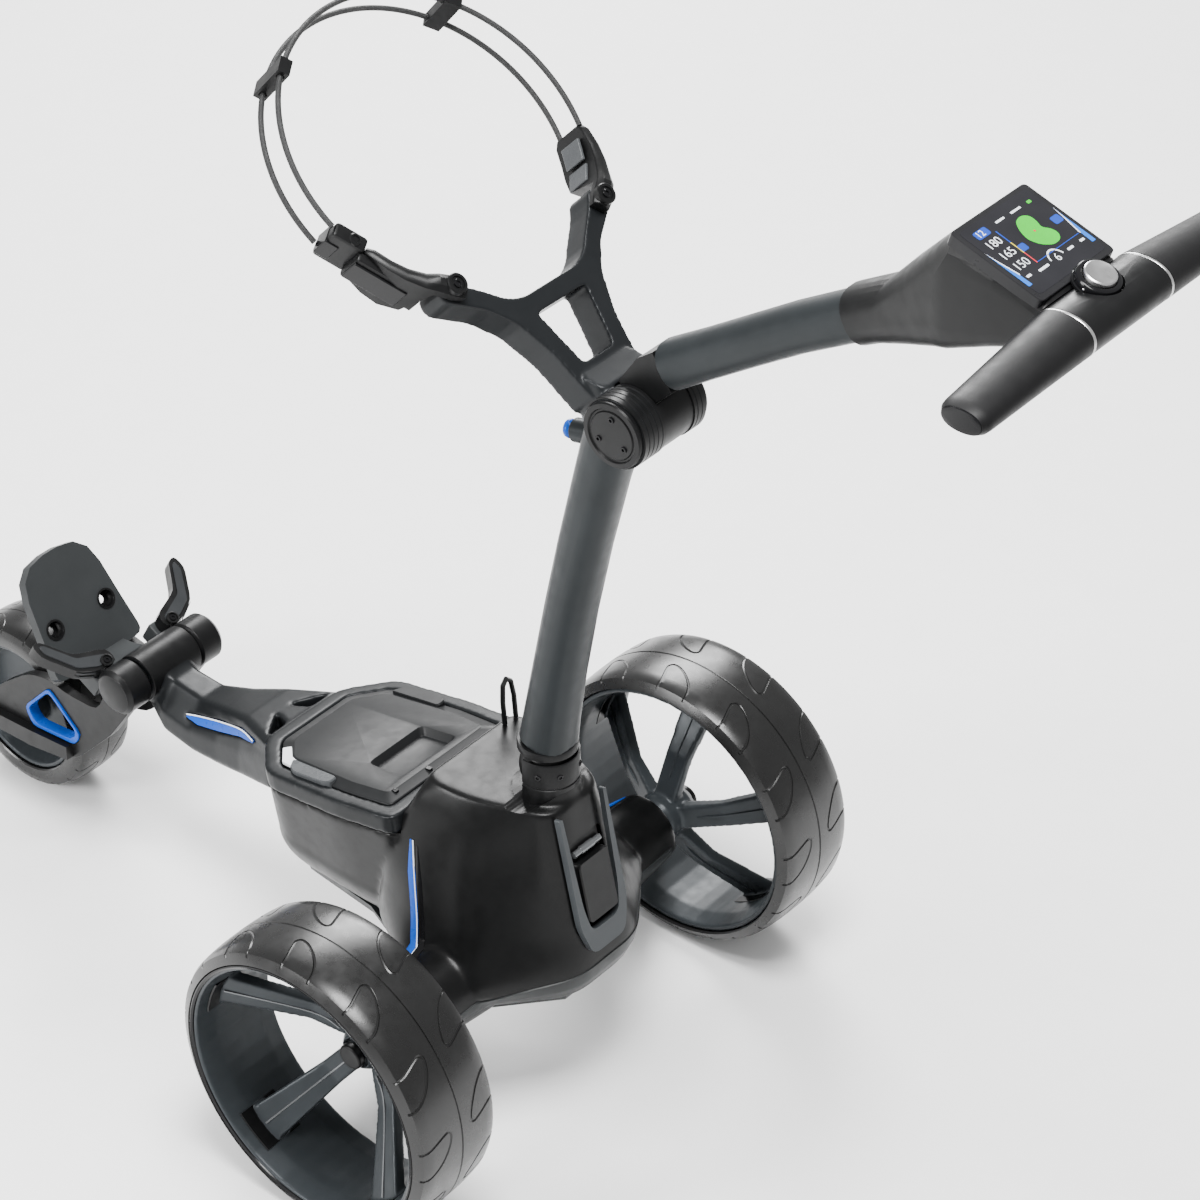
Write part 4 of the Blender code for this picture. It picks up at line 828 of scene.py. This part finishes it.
def latch():
    """A U-shaped frame round the release lever, with a roller above the lever."""
    outer = rounded([(-0.0300, 0.020), (-0.0300, -0.088), (-0.0210, -0.117), (0.0210, -0.117),
                     (0.0300, -0.088), (0.0300, 0.020), (0.0262, 0.020), (0.0225, -0.070),
                     (0.0175, -0.096), (-0.0175, -0.096), (-0.0225, -0.070), (-0.0262, 0.020)], 0.009, 5)
    rings = [[latch_place(0, out) @ Vector((x * grow, y, 0)) for x, y in outer]
             for out, grow in ((0.0004, 1.0), (0.0052, 1.0), (0.0062, 0.985))]
    frame_form = lofted("latch_frame_form", rings, FRAME_GREY, "chassis", 40)
    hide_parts("latch_frame")
    face = rounded([(-0.0185, -0.0300), (-0.0185, -0.0875), (0.0185, -0.0875), (0.0185, -0.0300)], 0.004, 4)
    step = [(-0.0180, -0.0125), (-0.0180, -0.0300), (0.0180, -0.0300), (0.0180, -0.0125)]
    lever = loft_mesh([[latch_place(0, out) @ Vector((x * grow, y, 0)) for x, y in face]
                       for out, grow in ((-0.0050, 1.0), (0.0058, 1.0), (0.0070, 0.95))])
    other = loft_mesh([on_plane(latch_place(0, out), step) for out in (-0.0050, -0.0020)])
    plate = mesh_of("lever_form", lever)
    combine(plate, [other], "UNION")
    lever_form = dressed("latch_lever_form", plate.data, BLACK, "latch", 35)
    bpy.data.objects.remove(plate)
    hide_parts("mast_latch_lever")
    roller = [(0.0, -0.0165), (0.0028, -0.0165), (0.0028, -0.0080), (0.0035, -0.0074), (0.0035, 0.0074),
              (0.0028, 0.0080), (0.0028, 0.0165), (0.0, 0.0165)]
    lathe("latch_roller", roller, latch_point(0.0225, 0.0005), HIGHLIGHT_AND_ROLLER_GREY, "latch", 32, "X", False, 30)


def tray_plane(above=0.0):
    plane = frame_at(TRAY_REAR, (1, 0, 0), (0, math.cos(TILT), math.sin(TILT)))
    return plane @ Matrix.Translation((0, 0, above))


def battery_outline(offset=0.0):
    front, shoulder, rear = -0.156, -0.129, 0.0
    half = [(0.041 + 0.41 * offset, front - offset), (0.069 + offset, shoulder - 0.41 * offset),
            (0.073 + offset, -0.050), (0.070 + offset, rear + offset)]
    return half + [(-x, y) for x, y in reversed(half)]


def battery():
    crisp("battery_case", LID, 0.0008)
    place = tray_plane()
    levels = [(-0.0005, -0.0085), (0.0, -0.0075), (0.0, -0.0008), (-0.0008, 0.0), (-0.0095, 0.0022),
              (-0.0105, 0.0028)]
    rings = [on_plane(place, rounded(battery_outline(out), 0.006, 4), up) for out, up in levels]
    lid = lofted("battery_cover", rings, LID, "battery", 20)
    recess = rounded([(-0.034, -0.060), (0.034, -0.060), (0.036, -0.018), (-0.036, -0.018)], 0.006, 5)
    floor = [(x * 0.90, -0.039 + (y + 0.039) * 0.86) for x, y in recess]
    tool = loft_mesh([on_plane(place, floor, -0.0048), on_plane(place, recess, 0.0045)])
    cutter = mesh_of("recess_tool", tool)
    modifier(lid, "BOOLEAN", operation="DIFFERENCE", solver="EXACT", object=cutter)
    modifier(lid, "BEVEL", width=0.0006, segments=2, limit_method="ANGLE", angle_limit=math.radians(25))
    applied(lid)
    bpy.data.objects.remove(cutter)
    lid.data.shade_smooth()
    lid.data.set_sharp_from_angle(angle=math.radians(30))
    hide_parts("battery_lid")
    for side, sign in (("left", 1), ("right", -1)):
        grip = rounded([(sign * 0.0625, -0.122), (sign * 0.0725, -0.116), (sign * 0.0765, -0.108),
                        (sign * 0.0765, -0.074), (sign * 0.0735, -0.067),
                        (sign * 0.0645, -0.067)][::sign], 0.003, 3)
        slab("battery_grip_" + side, grip, -0.004, 0.0042, place, PAD if sign > 0 else LID, "battery", 0.0012)
    patch = [(0.0530, -0.1435), (0.0692, -0.1285), (0.0714, -0.1075), (0.0640, -0.1120), (0.0590, -0.1260),
             (0.0475, -0.1380)]
    slab("battery_patch", rounded(patch, 0.0012, 2), 0.0005, 0.0032, place, WHITE, "battery", 0.0003)
    for i, (x, y) in enumerate(((0.012, -0.0035), (0.052, -0.006))):
        notch = rounded([(x, y), (x + 0.004, y), (x + 0.004, y - 0.006), (x, y - 0.006)], 0.001, 2)
        slab(f"battery_notch_{i}", notch, 0.001, 0.0032, place, GLOSS, "battery", 0.0002)


# ---------------------------------------------------------------- the fork and the lower bag rest
def lower_plane(along=0.0, out=0.0, x=0.0):
    """Plane of the lower plate: X across, Y up it, Z towards the rear."""
    up, out_way = Vector((0, -0.5220, 0.8530)), Vector((0, 0.8530, 0.5220))
    return frame_at(PLATE_BASE + Vector((x, 0, 0)) + along * up + out * out_way, (-1, 0, 0), up)


LOWER_ARM_OUT = Vector((0, 0.492, 0.871))


def lower_arm_place(sign, out=0.0):
    """Plane of a lower arm at its pivot: X across, Y along it, Z out of it."""
    pivot = Vector((sign * LOWER_PIVOT_X, LOWER_PIVOT[0], LOWER_PIVOT[1]))
    return frame_at(pivot + out * LOWER_ARM_OUT, (-1, 0, 0), Vector((0, -0.871, 0.492)))


def front_end():
    for side, sign in (("left", 1), ("right", -1)):
        crisp("fork_leg_" + side, BLACK, 0.0012, 3)
        crisp("fork_trim_" + side, BLUE, 0.0006)
        crisp("lower_bag_arm_" + side, BLACK, 0.0008)
        arm = "lower_arm_" + side
        outline = rounded([(-sign * x, y) for x, y in ((-0.006, -0.001), (0.009, -0.001), (0.027, 0.008),
                                                      (0.044, 0.036), (0.044, 0.045), (0.040, 0.044),
                                                      (0.023, 0.017), (-0.005, 0.006))][::sign], 0.003, 3)
        slab("lower_arm_ledge_" + side, outline, -0.0010, 0.0011, lower_arm_place(sign), LEDGE, arm, 0.0005)
        lathe("lower_pivot_" + side, [(0.0, -0.0174), (0.0062, -0.0174), (0.0062, 0.0030), (0.0054, 0.0036),
                                      (0.0046, 0.0036), (0.0042, 0.0020), (0.0, 0.0020)],
              lower_arm_place(sign), BLACK, arm, 32, "Z", False, 30)
        head = lower_arm_place(sign, 0.0022).translation
        screw("lower_screw_" + side, head, LOWER_ARM_OUT, 0.0030, arm, GLOSS)
        corners = ((0.014, -0.0035), (0.030, 0.0050), (0.031, 0.0060), (0.015, -0.0020))
        slot = rounded([(-sign * x, y) for x, y in corners][::sign], 0.0006, 2)
        for level in (-0.0040, -0.0095):
            slab(f"lower_slot_{side}_{-level * 1e4:.0f}", slot, level - 0.0008, level + 0.0008,
                 lower_arm_place(sign), LEDGE, arm, 0.0002)
    for name in ("fork_pin", "front_axle"):
        painted(name, STEEL)
    crisp("lower_bag_plate", PLATE_GREY, 0.0016, 3)
    for side, sign in (("left", 1), ("right", -1)):
        cup = [(0.0040, -0.0100), (0.0086, -0.0100), (0.0087, 0.0008), (0.0098, 0.0010), (0.0098, 0.0013),
               (0.0080, 0.0014), (0.0074, 0.0002), (0.0070, -0.0088), (0.0040, -0.0088)]
        lathe("plate_cup_" + side, cup, lower_plane(0.0452, 0.0010, sign * 0.032), BLACK,
              body_of("lower_bag_plate"), 48, "Z", True, 30)
    pin = middle_of("fork_pin") - AXLE
    lathe("barrel_sleeve", [(0.0215, -0.0298), (0.0224, -0.0298), (0.0229, -0.0292), (0.0229, 0.0292),
                            (0.0224, 0.0298), (0.0215, 0.0298)],
          Vector((0, pin.y, pin.z)), BLACK, "chassis", 72)
    ends = [(0.0, 0.0), (0.0150, 0.0), (0.0190, -0.0016), (0.0208, -0.0052), (0.0205, -0.0090),
            (0.0, -0.0090)]
    for side, sign in (("left", 1), ("right", -1)):
        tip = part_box("fork_leg_" + side)
        end = sign * max(abs(tip[0].x), abs(tip[1].x))
        lathe("barrel_end_" + side, [(r, end + sign * (a + 0.0012)) for r, a in ends],
              Vector((0, pin.y, pin.z)), BLACK, body_of("fork_leg_" + side), 48, "X", False, 40)


# ---------------------------------------------------------------- the mast and the upper bag rest
BRACKET_TOP = Vector((0, 0.0085, 0.812))
BRACKET_UP, BRACKET_OUT = Vector((0, -0.7340, 0.6791)), Vector((0, 0.6791, 0.7340))
ARM_PIVOT_X = 0.085
BUCKLE_X, BUCKLE_ALONG = 0.1285, 0.0695


def bracket_place(out, x=0.0, along=0.0):
    """Plane of the bag bracket: X across, Y up it, Z towards the user."""
    spot = BRACKET_TOP + out * BRACKET_OUT + along * BRACKET_UP + Vector((x, 0, 0))
    return frame_at(spot, (1, 0, 0), BRACKET_UP)


def mast():
    crisp("mast_tube", PAINT, 0.0006)
    ball = [(0.0, MAST_PIVOT.z - 0.0241)]
    for i in range(1, 24):
        up = math.radians(-90 + 135 * i / 23)
        ball.append((0.0241 * math.cos(up), MAST_PIVOT.z + 0.0241 * math.sin(up)))
    ball += [(0.0240, 0.3450), (0.0256, 0.3458), (0.0258, 0.3510), (0.0250, 0.3528), (0.0, 0.3530)]
    foot = lathe("mast_foot_form", ball, Vector((0, MAST_PIVOT.y, 0)), BLACK, "mast", 72, "Z", False, 40)
    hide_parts("mast_foot")
    flowing("bag_bracket", BRACKET, 0.0013, 4, 0.5)
    painted("hinge_pin", STEEL)
    centre = Vector((0, HINGE.y, HINGE.z))
    for side, sign in (("left", 1), ("right", -1)):
        low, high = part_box("hinge_cap_" + side)
        inner = min(abs(low.x), abs(high.x))
        cap = [(0.0, 0.0), (0.0275, 0.0), (0.0275, 0.0030), (0.0266, 0.0044), (0.0228, 0.0046),
               (0.0218, 0.0032), (0.0205, 0.0030), (0.0196, 0.0040), (0.0, 0.0043)]
        form = lathe("hinge_cap_form_" + side, [(r, sign * (inner + a)) for r, a in cap], centre, BLACK,
                     body_of("hinge_cap_" + side), 72, "X", False, 28)
        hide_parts("hinge_cap_" + side)
        for i in range(3):
            turn = math.radians(90 + 120 * i)
            spot = centre + Vector((sign * (inner + 0.0040),
                                    0.0140 * math.cos(turn), 0.0140 * math.sin(turn)))
            screw(f"hinge_screw_{side}_{i}", spot, (sign, 0, 0), 0.0026, "mast", GLOSS)
        start = 0.0171
        ribs = [(0.0284, start), (0.0294, start)]
        place = start + 0.0030
        while place < inner - 0.003:
            ribs += [(0.0294, place), (0.0286, place + 0.0007), (0.0294, place + 0.0014)]
            place += 0.0052
        ribs += [(0.0294, inner - 0.0002), (0.0284, inner - 0.0002)]
        lathe("hinge_sleeve_" + side, [(r, sign * a) for r, a in ribs], centre, BLACK, "mast", 96,
              "X", True, 30)
        crisp("upper_bag_arm_" + side, BLACK, 0.0010, 3)
        crisp("bungee_clip_" + side, BLACK, 0.0010)
        arm = "upper_arm_" + side
        spot = bracket_place(0.0148, sign * (ARM_PIVOT_X + 0.0002), 0.0006).translation
        lathe("arm_boss_" + side, [(0.0, -0.004), (0.0086, -0.004), (0.0086, 0.0006), (0.0078, 0.0014),
                                   (0.0058, 0.0014), (0.0052, 0.0002), (0.0, 0.0002)],
              aimed(spot, BRACKET_OUT), BLACK, arm, 40, "Z", False, 30)
        screw("arm_screw_" + side, spot + BRACKET_OUT * 0.0004, BRACKET_OUT, 0.0034, arm, GLOSS)
    buckle()
    blue = [(0.0, 0.0), (0.0052, 0.0), (0.0054, 0.0030), (0.0072, 0.0042), (0.0078, 0.0062), (0.0072, 0.0086),
            (0.0050, 0.0100), (0.0, 0.0104)]
    place = aimed(Vector((0, 0.0604, 0.6689)), Vector((0, -0.9738, -0.2272)))
    button = lathe("hinge_button_form", blue, place, BLUE, "hinge_release", 40, "Z", False, 60)
    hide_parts("hinge_button")


def buckle():
    """The strap lever, its roller and catch on the left arm, and grey pads inside the right arm."""
    turned = Matrix.Rotation(math.radians(58), 4, "Z")
    for name, size, spot, mat in (("buckle_catch", (0.012, 0.0160, 0.020), (0.0100, 0.0020, 0.003), GLOSS),
                                  ("buckle_strap", (0.046, 0.0020, 0.022), (-0.033, -0.0128, 0.0), GLOSS),
                                  ("buckle_tab", (0.014, 0.0030, 0.016), (-0.061, -0.0105, 0.0), BLACK)):
        place = bracket_place(-0.021, BUCKLE_X, BUCKLE_ALONG) @ turned @ Matrix.Translation(spot)
        piece = new_piece(name, block(size, place), mat, "upper_arm_left", 30)
        modifier(piece, "BEVEL", width=0.0009, segments=3)
        modifier(piece, "WEIGHTED_NORMAL", weight=60)
        applied(piece)
    place = (bracket_place(-0.0055, BUCKLE_X, BUCKLE_ALONG) @ turned @ Matrix.Translation((-0.002, 0.001, 0))
             @ Matrix.Rotation(math.pi, 4, "X"))
    roller = [(0.0, -0.004), (0.0052, -0.004), (0.0052, 0.0026), (0.0044, 0.0034), (0.0030, 0.0034),
              (0.0026, 0.0022), (0.0, 0.0022)]
    lathe("buckle_roller", roller, place, BLACK, "upper_arm_left", 32, "Z", False, 30)
    pads = ((-0.1012, 0.0245, -50, 0.015), (-0.1096, 0.0420, -66, 0.018))
    for i, (x, along, turn, long) in enumerate(pads):
        place = bracket_place(-0.019, x, along) @ Matrix.Rotation(math.radians(turn), 4, "Z")
        pad = new_piece(f"arm_pad_{i}", block((long, 0.0030, 0.024), place), PAD, "upper_arm_right", 30)
        modifier(pad, "BEVEL", width=0.0009, segments=3)
        applied(pad)


LOOP_CENTRE, LOOP_RADIUS = Vector((0, -0.0804, 0.8632)), 0.132
LOOP_GAP, CORD_RADIUS = 0.028, 0.0023


def loop_point(turn, lift):
    leftwards, forwards = Vector((0.9949, -0.0736, 0.0685)), Vector((-0.1002, -0.7846, 0.6119))
    radius = LOOP_RADIUS * (1 + 0.03 * math.cos(turn))
    spot = LOOP_CENTRE + radius * (leftwards * math.cos(turn) + forwards * math.sin(turn))
    return spot + Vector((0, 0.679, 0.734)) * lift


def cords():
    """Each elastic cord in two halves, each a fixed arc between the mast and an arm."""
    halves = (("left", -12, 88, 38), ("right", 193.5, 88, 142))
    for level, lift in (("lower", -LOOP_GAP / 2), ("upper", LOOP_GAP / 2)):
        for side, start, end, still in halves:
            steps = 48
            turns = [math.radians(start + (end - start) * i / steps) for i in range(steps + 1)]
            points = [loop_point(t, lift) for t in turns]
            half = tube(f"cord_{level}_{side}", points, CORD_RADIUS, CORD, None)
            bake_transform(half)
            if side == "left":
                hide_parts("bungee_" + level)


# ---------------------------------------------------------------- the handle and its console
def tbar_ring(x, share, scale):
    place = frame_at((x, TBAR.y + 0.004 * share, TBAR.z - 0.004 * share), (0, 1, 0), (0, 0, 1))
    return on_plane(place, oval(TBAR_DEEP * scale, TBAR_HIGH * scale * (1 - 0.18 * share), 2.2, 64))


def handle():
    crisp("handle_knuckle", BLACK, 0.0010, 3)
    crisp("handle_tube", PAINT, 0.0006)
    crisp("console_housing", BLACK, 0.0014, 3)
    crisp("tbar_core", BLACK, 0.0006)
    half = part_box("tbar_core")[1].x
    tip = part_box("grip_left")[1].x
    for side, sign in (("left", 1), ("right", -1)):
        first = half + 0.0032
        rings = []
        for i in range(29):
            share = i / 28
            x = first + share * (tip - first)
            scale = 1.0 - 0.20 * share
            if share > 0.94:
                scale *= math.sqrt(max(0.0, 1 - ((share - 0.94) / 0.06) ** 2 * 0.28))
            rings.append(tbar_ring(sign * x, share, scale))
        grip = lofted("grip_form_" + side, rings, GRIP, "handle", 50)
        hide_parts("grip_" + side)
        ring = [tbar_ring(sign * (half + along), 0.0, scale) for along, scale in
                ((0.0003, 0.985), (0.0006, 1.004), (0.0024, 1.004), (0.0029, 0.985))]
        lofted("grip_ring_" + side, ring, SILVER, "handle", 50)
    painted("screen_glass", LCD)
    place = screen_place()
    bezel = rounded([(-0.0432, -0.0400), (0.0432, -0.0400), (0.0432, 0.0392), (-0.0432, 0.0392)], 0.004, 4)
    slab("screen_bezel", bezel, -0.0075, GLASS_TOP - 0.0002, place, BEZEL, "handle", 0.0006)
    for side, sign in (("left", 1), ("right", -1)):
        tip_ring = [tbar_ring(sign * (tip + along), 1.0, scale) for along, scale in
                    ((-0.0010, 0.66), (0.0004, 0.66), (0.0008, 0.62))]
        lofted("grip_end_" + side, tip_ring, GLOSS, "handle", 30)


def screen_place():
    """X to the user's right, Y up the screen, Z out of it."""
    return frame_at(SCREEN_CENTRE, (-1, 0, 0), (0, -math.cos(SCREEN_TILT), math.sin(SCREEN_TILT)))


GLASS_TOP = 0.00225            # the glass over the screen's plane
SCREEN_WIDE, SCREEN_HIGH = 0.080, 0.072


def on_screen(a, b):
    """A place on the screen, given in shares of its width and height from its top left."""
    return (a - 0.5) * SCREEN_WIDE, (0.5 - b) * SCREEN_HIGH


def decal(name, outline, mat, level=0):
    """A flat lit shape on the screen, given in shares of its width and height."""
    place = screen_place()
    low = GLASS_TOP + 0.00002 + 0.00003 * level
    points = [on_screen(a, b) for a, b in outline]
    lofted(name, [on_plane(place, points, up) for up in (low, low + 0.00003)], mat, "handle")


def digits(name, words, a, b, size):
    curve = bpy.data.curves.new(name, "FONT")
    curve.body = words
    curve.size = size
    curve.align_x = "CENTER"
    curve.align_y = "CENTER"
    curve.extrude = 0.00002
    guide = linked(name, curve)
    spot = Matrix.Translation((*on_screen(a, b), GLASS_TOP + 0.00015))
    guide.matrix_world = Matrix.Translation(AXLE) @ screen_place() @ spot
    mesh = evaluated_mesh(guide)
    mesh.transform(guide.matrix_world)
    bpy.data.objects.remove(guide)
    dressed(name, mesh, SCREEN_WHITE, "handle")


def tag(name, a, b, wide, high, mat, level=1):
    corners = [(a - wide, b - high), (a + wide, b - high), (a + wide, b + high), (a - wide, b + high)]
    decal(name, rounded(corners, min(wide, high) * 0.5, 3), mat, level)


def screen():
    green = [(0.50, 0.34), (0.56, 0.24), (0.66, 0.22), (0.73, 0.27), (0.73, 0.36), (0.70, 0.44), (0.76, 0.50),
             (0.78, 0.58), (0.73, 0.65), (0.62, 0.66), (0.52, 0.58), (0.47, 0.46)]
    decal("green_map", rounded(green, 0.05, 4), SCREEN_GREEN, 1)
    tag("map_pin", 0.615, 0.43, 0.010, 0.012, SCREEN_RED, 2)
    tag("hole_tag", 0.19, 0.15, 0.085, 0.05, SCREEN_BLUE)
    digits("hole_digits", "12", 0.17, 0.15, 0.0078)
    for name, words, b in (("far_digits", "180", 0.305), ("mid_digits", "165", 0.47),
                           ("near_digits", "150", 0.635)):
        digits(name, words, 0.18, b, 0.0100)
    tag("left_hazard", 0.36, 0.50, 0.045, 0.045, SCREEN_BLUE)
    tag("right_hazard", 0.90, 0.46, 0.055, 0.05, SCREEN_BLUE)
    tag("scale_blue", 0.315, 0.30, 0.006, 0.09, SCREEN_BLUE)
    tag("scale_yellow", 0.315, 0.47, 0.006, 0.08, SCREEN_YELLOW)
    tag("scale_red", 0.315, 0.63, 0.006, 0.08, SCREEN_RED)
    tag("map_line", 0.62, 0.705, 0.30, 0.004, SCREEN_BLUE)
    turns = [math.radians(10 + 8 * i) for i in range(21)]
    outer, inner = ([(0.52 + wide * math.cos(t), 0.80 - high * math.sin(t)) for t in turns]
                    for wide, high in ((0.095, 0.13), (0.080, 0.11)))
    decal("speed_arc", outer + inner[::-1], SCREEN_WHITE, 1)
    digits("speed_digit", "6", 0.52, 0.785, 0.0095)
    for name, a, b, wide, high in (("status_left", 0.46, 0.14, 0.06, 0.012),
                                   ("status_right", 0.68, 0.145, 0.07, 0.012),
                                   ("foot_a", 0.12, 0.77, 0.03, 0.014), ("foot_b", 0.31, 0.79, 0.07, 0.014),
                                   ("foot_c", 0.71, 0.78, 0.04, 0.014), ("foot_d", 0.88, 0.78, 0.03, 0.014)):
        tag(name, a, b, wide, high, SCREEN_WHITE)
    tag("battery_sign", 0.87, 0.15, 0.026, 0.018, SCREEN_GREEN)
    for name, mirror in (("left", lambda a: a), ("right", lambda a: 1 - a)):
        edge = [(0.012, 0.34), (0.030, 0.50), (0.055, 0.68), (0.062, 0.86), (0.012, 0.86)]
        decal("edge_blue_" + name, [(mirror(a), b) for a, b in rounded(edge, 0.01, 3)], SCREEN_SKY, 1)
        line = [(0.010, 0.33), (0.034, 0.50), (0.066, 0.70), (0.056, 0.72), (0.022, 0.50)]
        decal("edge_white_" + name, [(mirror(a), b) for a, b in line], SCREEN_WHITE, 2)


def dial():
    place = frame_at((0, 0.5075, 0.9745), (1, 0, 0), (0, math.cos(SCREEN_TILT), -math.sin(SCREEN_TILT)))
    profile = [(0.0124, 0.0), (0.0175, 0.0), (0.0175, 0.0020), (0.0168, 0.0028), (0.0168, 0.0062),
               (0.0160, 0.0078), (0.0146, 0.0085), (0.0134, 0.0085), (0.0126, 0.0080)]
    ring = lathe("dial_ring", profile, place, GLOSS, "dial", 72, "Z")
    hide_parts("speed_dial")
    top = [(0.0, 0.0108), (0.0080, 0.0110), (0.0108, 0.0115), (0.0117, 0.0109), (0.0120, 0.0098),
           (0.0120, 0.0006), (0.0, 0.0006)]
    button = lathe("dial_cap", top, place, SILVER, "dial_push", 72, "Z", False)
    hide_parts("dial_button")
    notch = [(0.0, -0.0004), (0.0011, -0.0004), (0.0011, 0.0005), (0.0006, 0.0008), (0.0, 0.0008)]
    for i in range(10):
        turn = 2 * math.pi * i / 10
        c, s = math.cos(turn), math.sin(turn)
        spot = place @ Vector((0.0167 * c, 0.0167 * s, 0.0045))
        way = (place.to_3x3() @ Vector((c, s, 0))).normalized()
        mat = SILVER if i % 5 == 0 else BLACK
        lathe(f"dial_notch_{i}", notch, aimed(spot, way), mat, "dial", 12, "Z", False)


# ---------------------------------------------------------------- floor, light and camera
def studio():
    bm = bmesh.new()
    bmesh.ops.create_grid(bm, x_segments=1, y_segments=1, size=12)
    floor = linked("floor", mesh_from("floor", bm))
    floor.location.z = cad_low.z - 0.0005
    floor.data.materials.append(moulded("pale_floor", (0.92, 0.92, 0.92), 0.7, 0.05, 40, 0.0001, 0.1, 0.01))
    world = bpy.data.worlds.new("studio")
    world.use_nodes = True
    world.node_tree.nodes["Background"].inputs["Color"].default_value = (1, 1, 1, 1)
    world.node_tree.nodes["Background"].inputs["Strength"].default_value = 0.80
    bpy.context.scene.world = world
    for name, spot, size, power in (("key", (0.4, 0.6, 3.2), 1.2, 210), ("side", (3.0, -1.4, 1.8), 1.2, 150),
                                    ("back", (-2.2, -1.8, 2.2), 1.4, 170)):
        data = bpy.data.lights.new(name, "AREA")
        data.size, data.energy = size, power
        lamp = bpy.data.objects.new(name, data)
        bpy.context.scene.collection.objects.link(lamp)
        lamp.location = spot
        lamp.rotation_euler = (Vector((0, 0, 0.4)) - Vector(spot)).to_track_quat("-Z", "Y").to_euler()


def camera():
    right, back = Vector((-0.6404, 0.7680, 0)), Vector((0.6193, 0.5164, 0.5914))
    up = back.cross(right)
    data = bpy.data.cameras.new("camera")
    data.sensor_width, data.lens = 36, 113.85
    obj = bpy.data.objects.new("camera", data)
    bpy.context.scene.collection.objects.link(obj)
    obj.matrix_world = Matrix(((right.x, up.x, back.x, 1.84786), (right.y, up.y, back.y, 1.69975),
                               (right.z, up.z, back.z, 2.28255), (0, 0, 0, 1)))
    bpy.context.scene.camera = obj


camera()
studio()
rear_wheels()
front_wheel()
housing()
battery()
front_end()
mast()
cords()
handle()
screen()
dial()
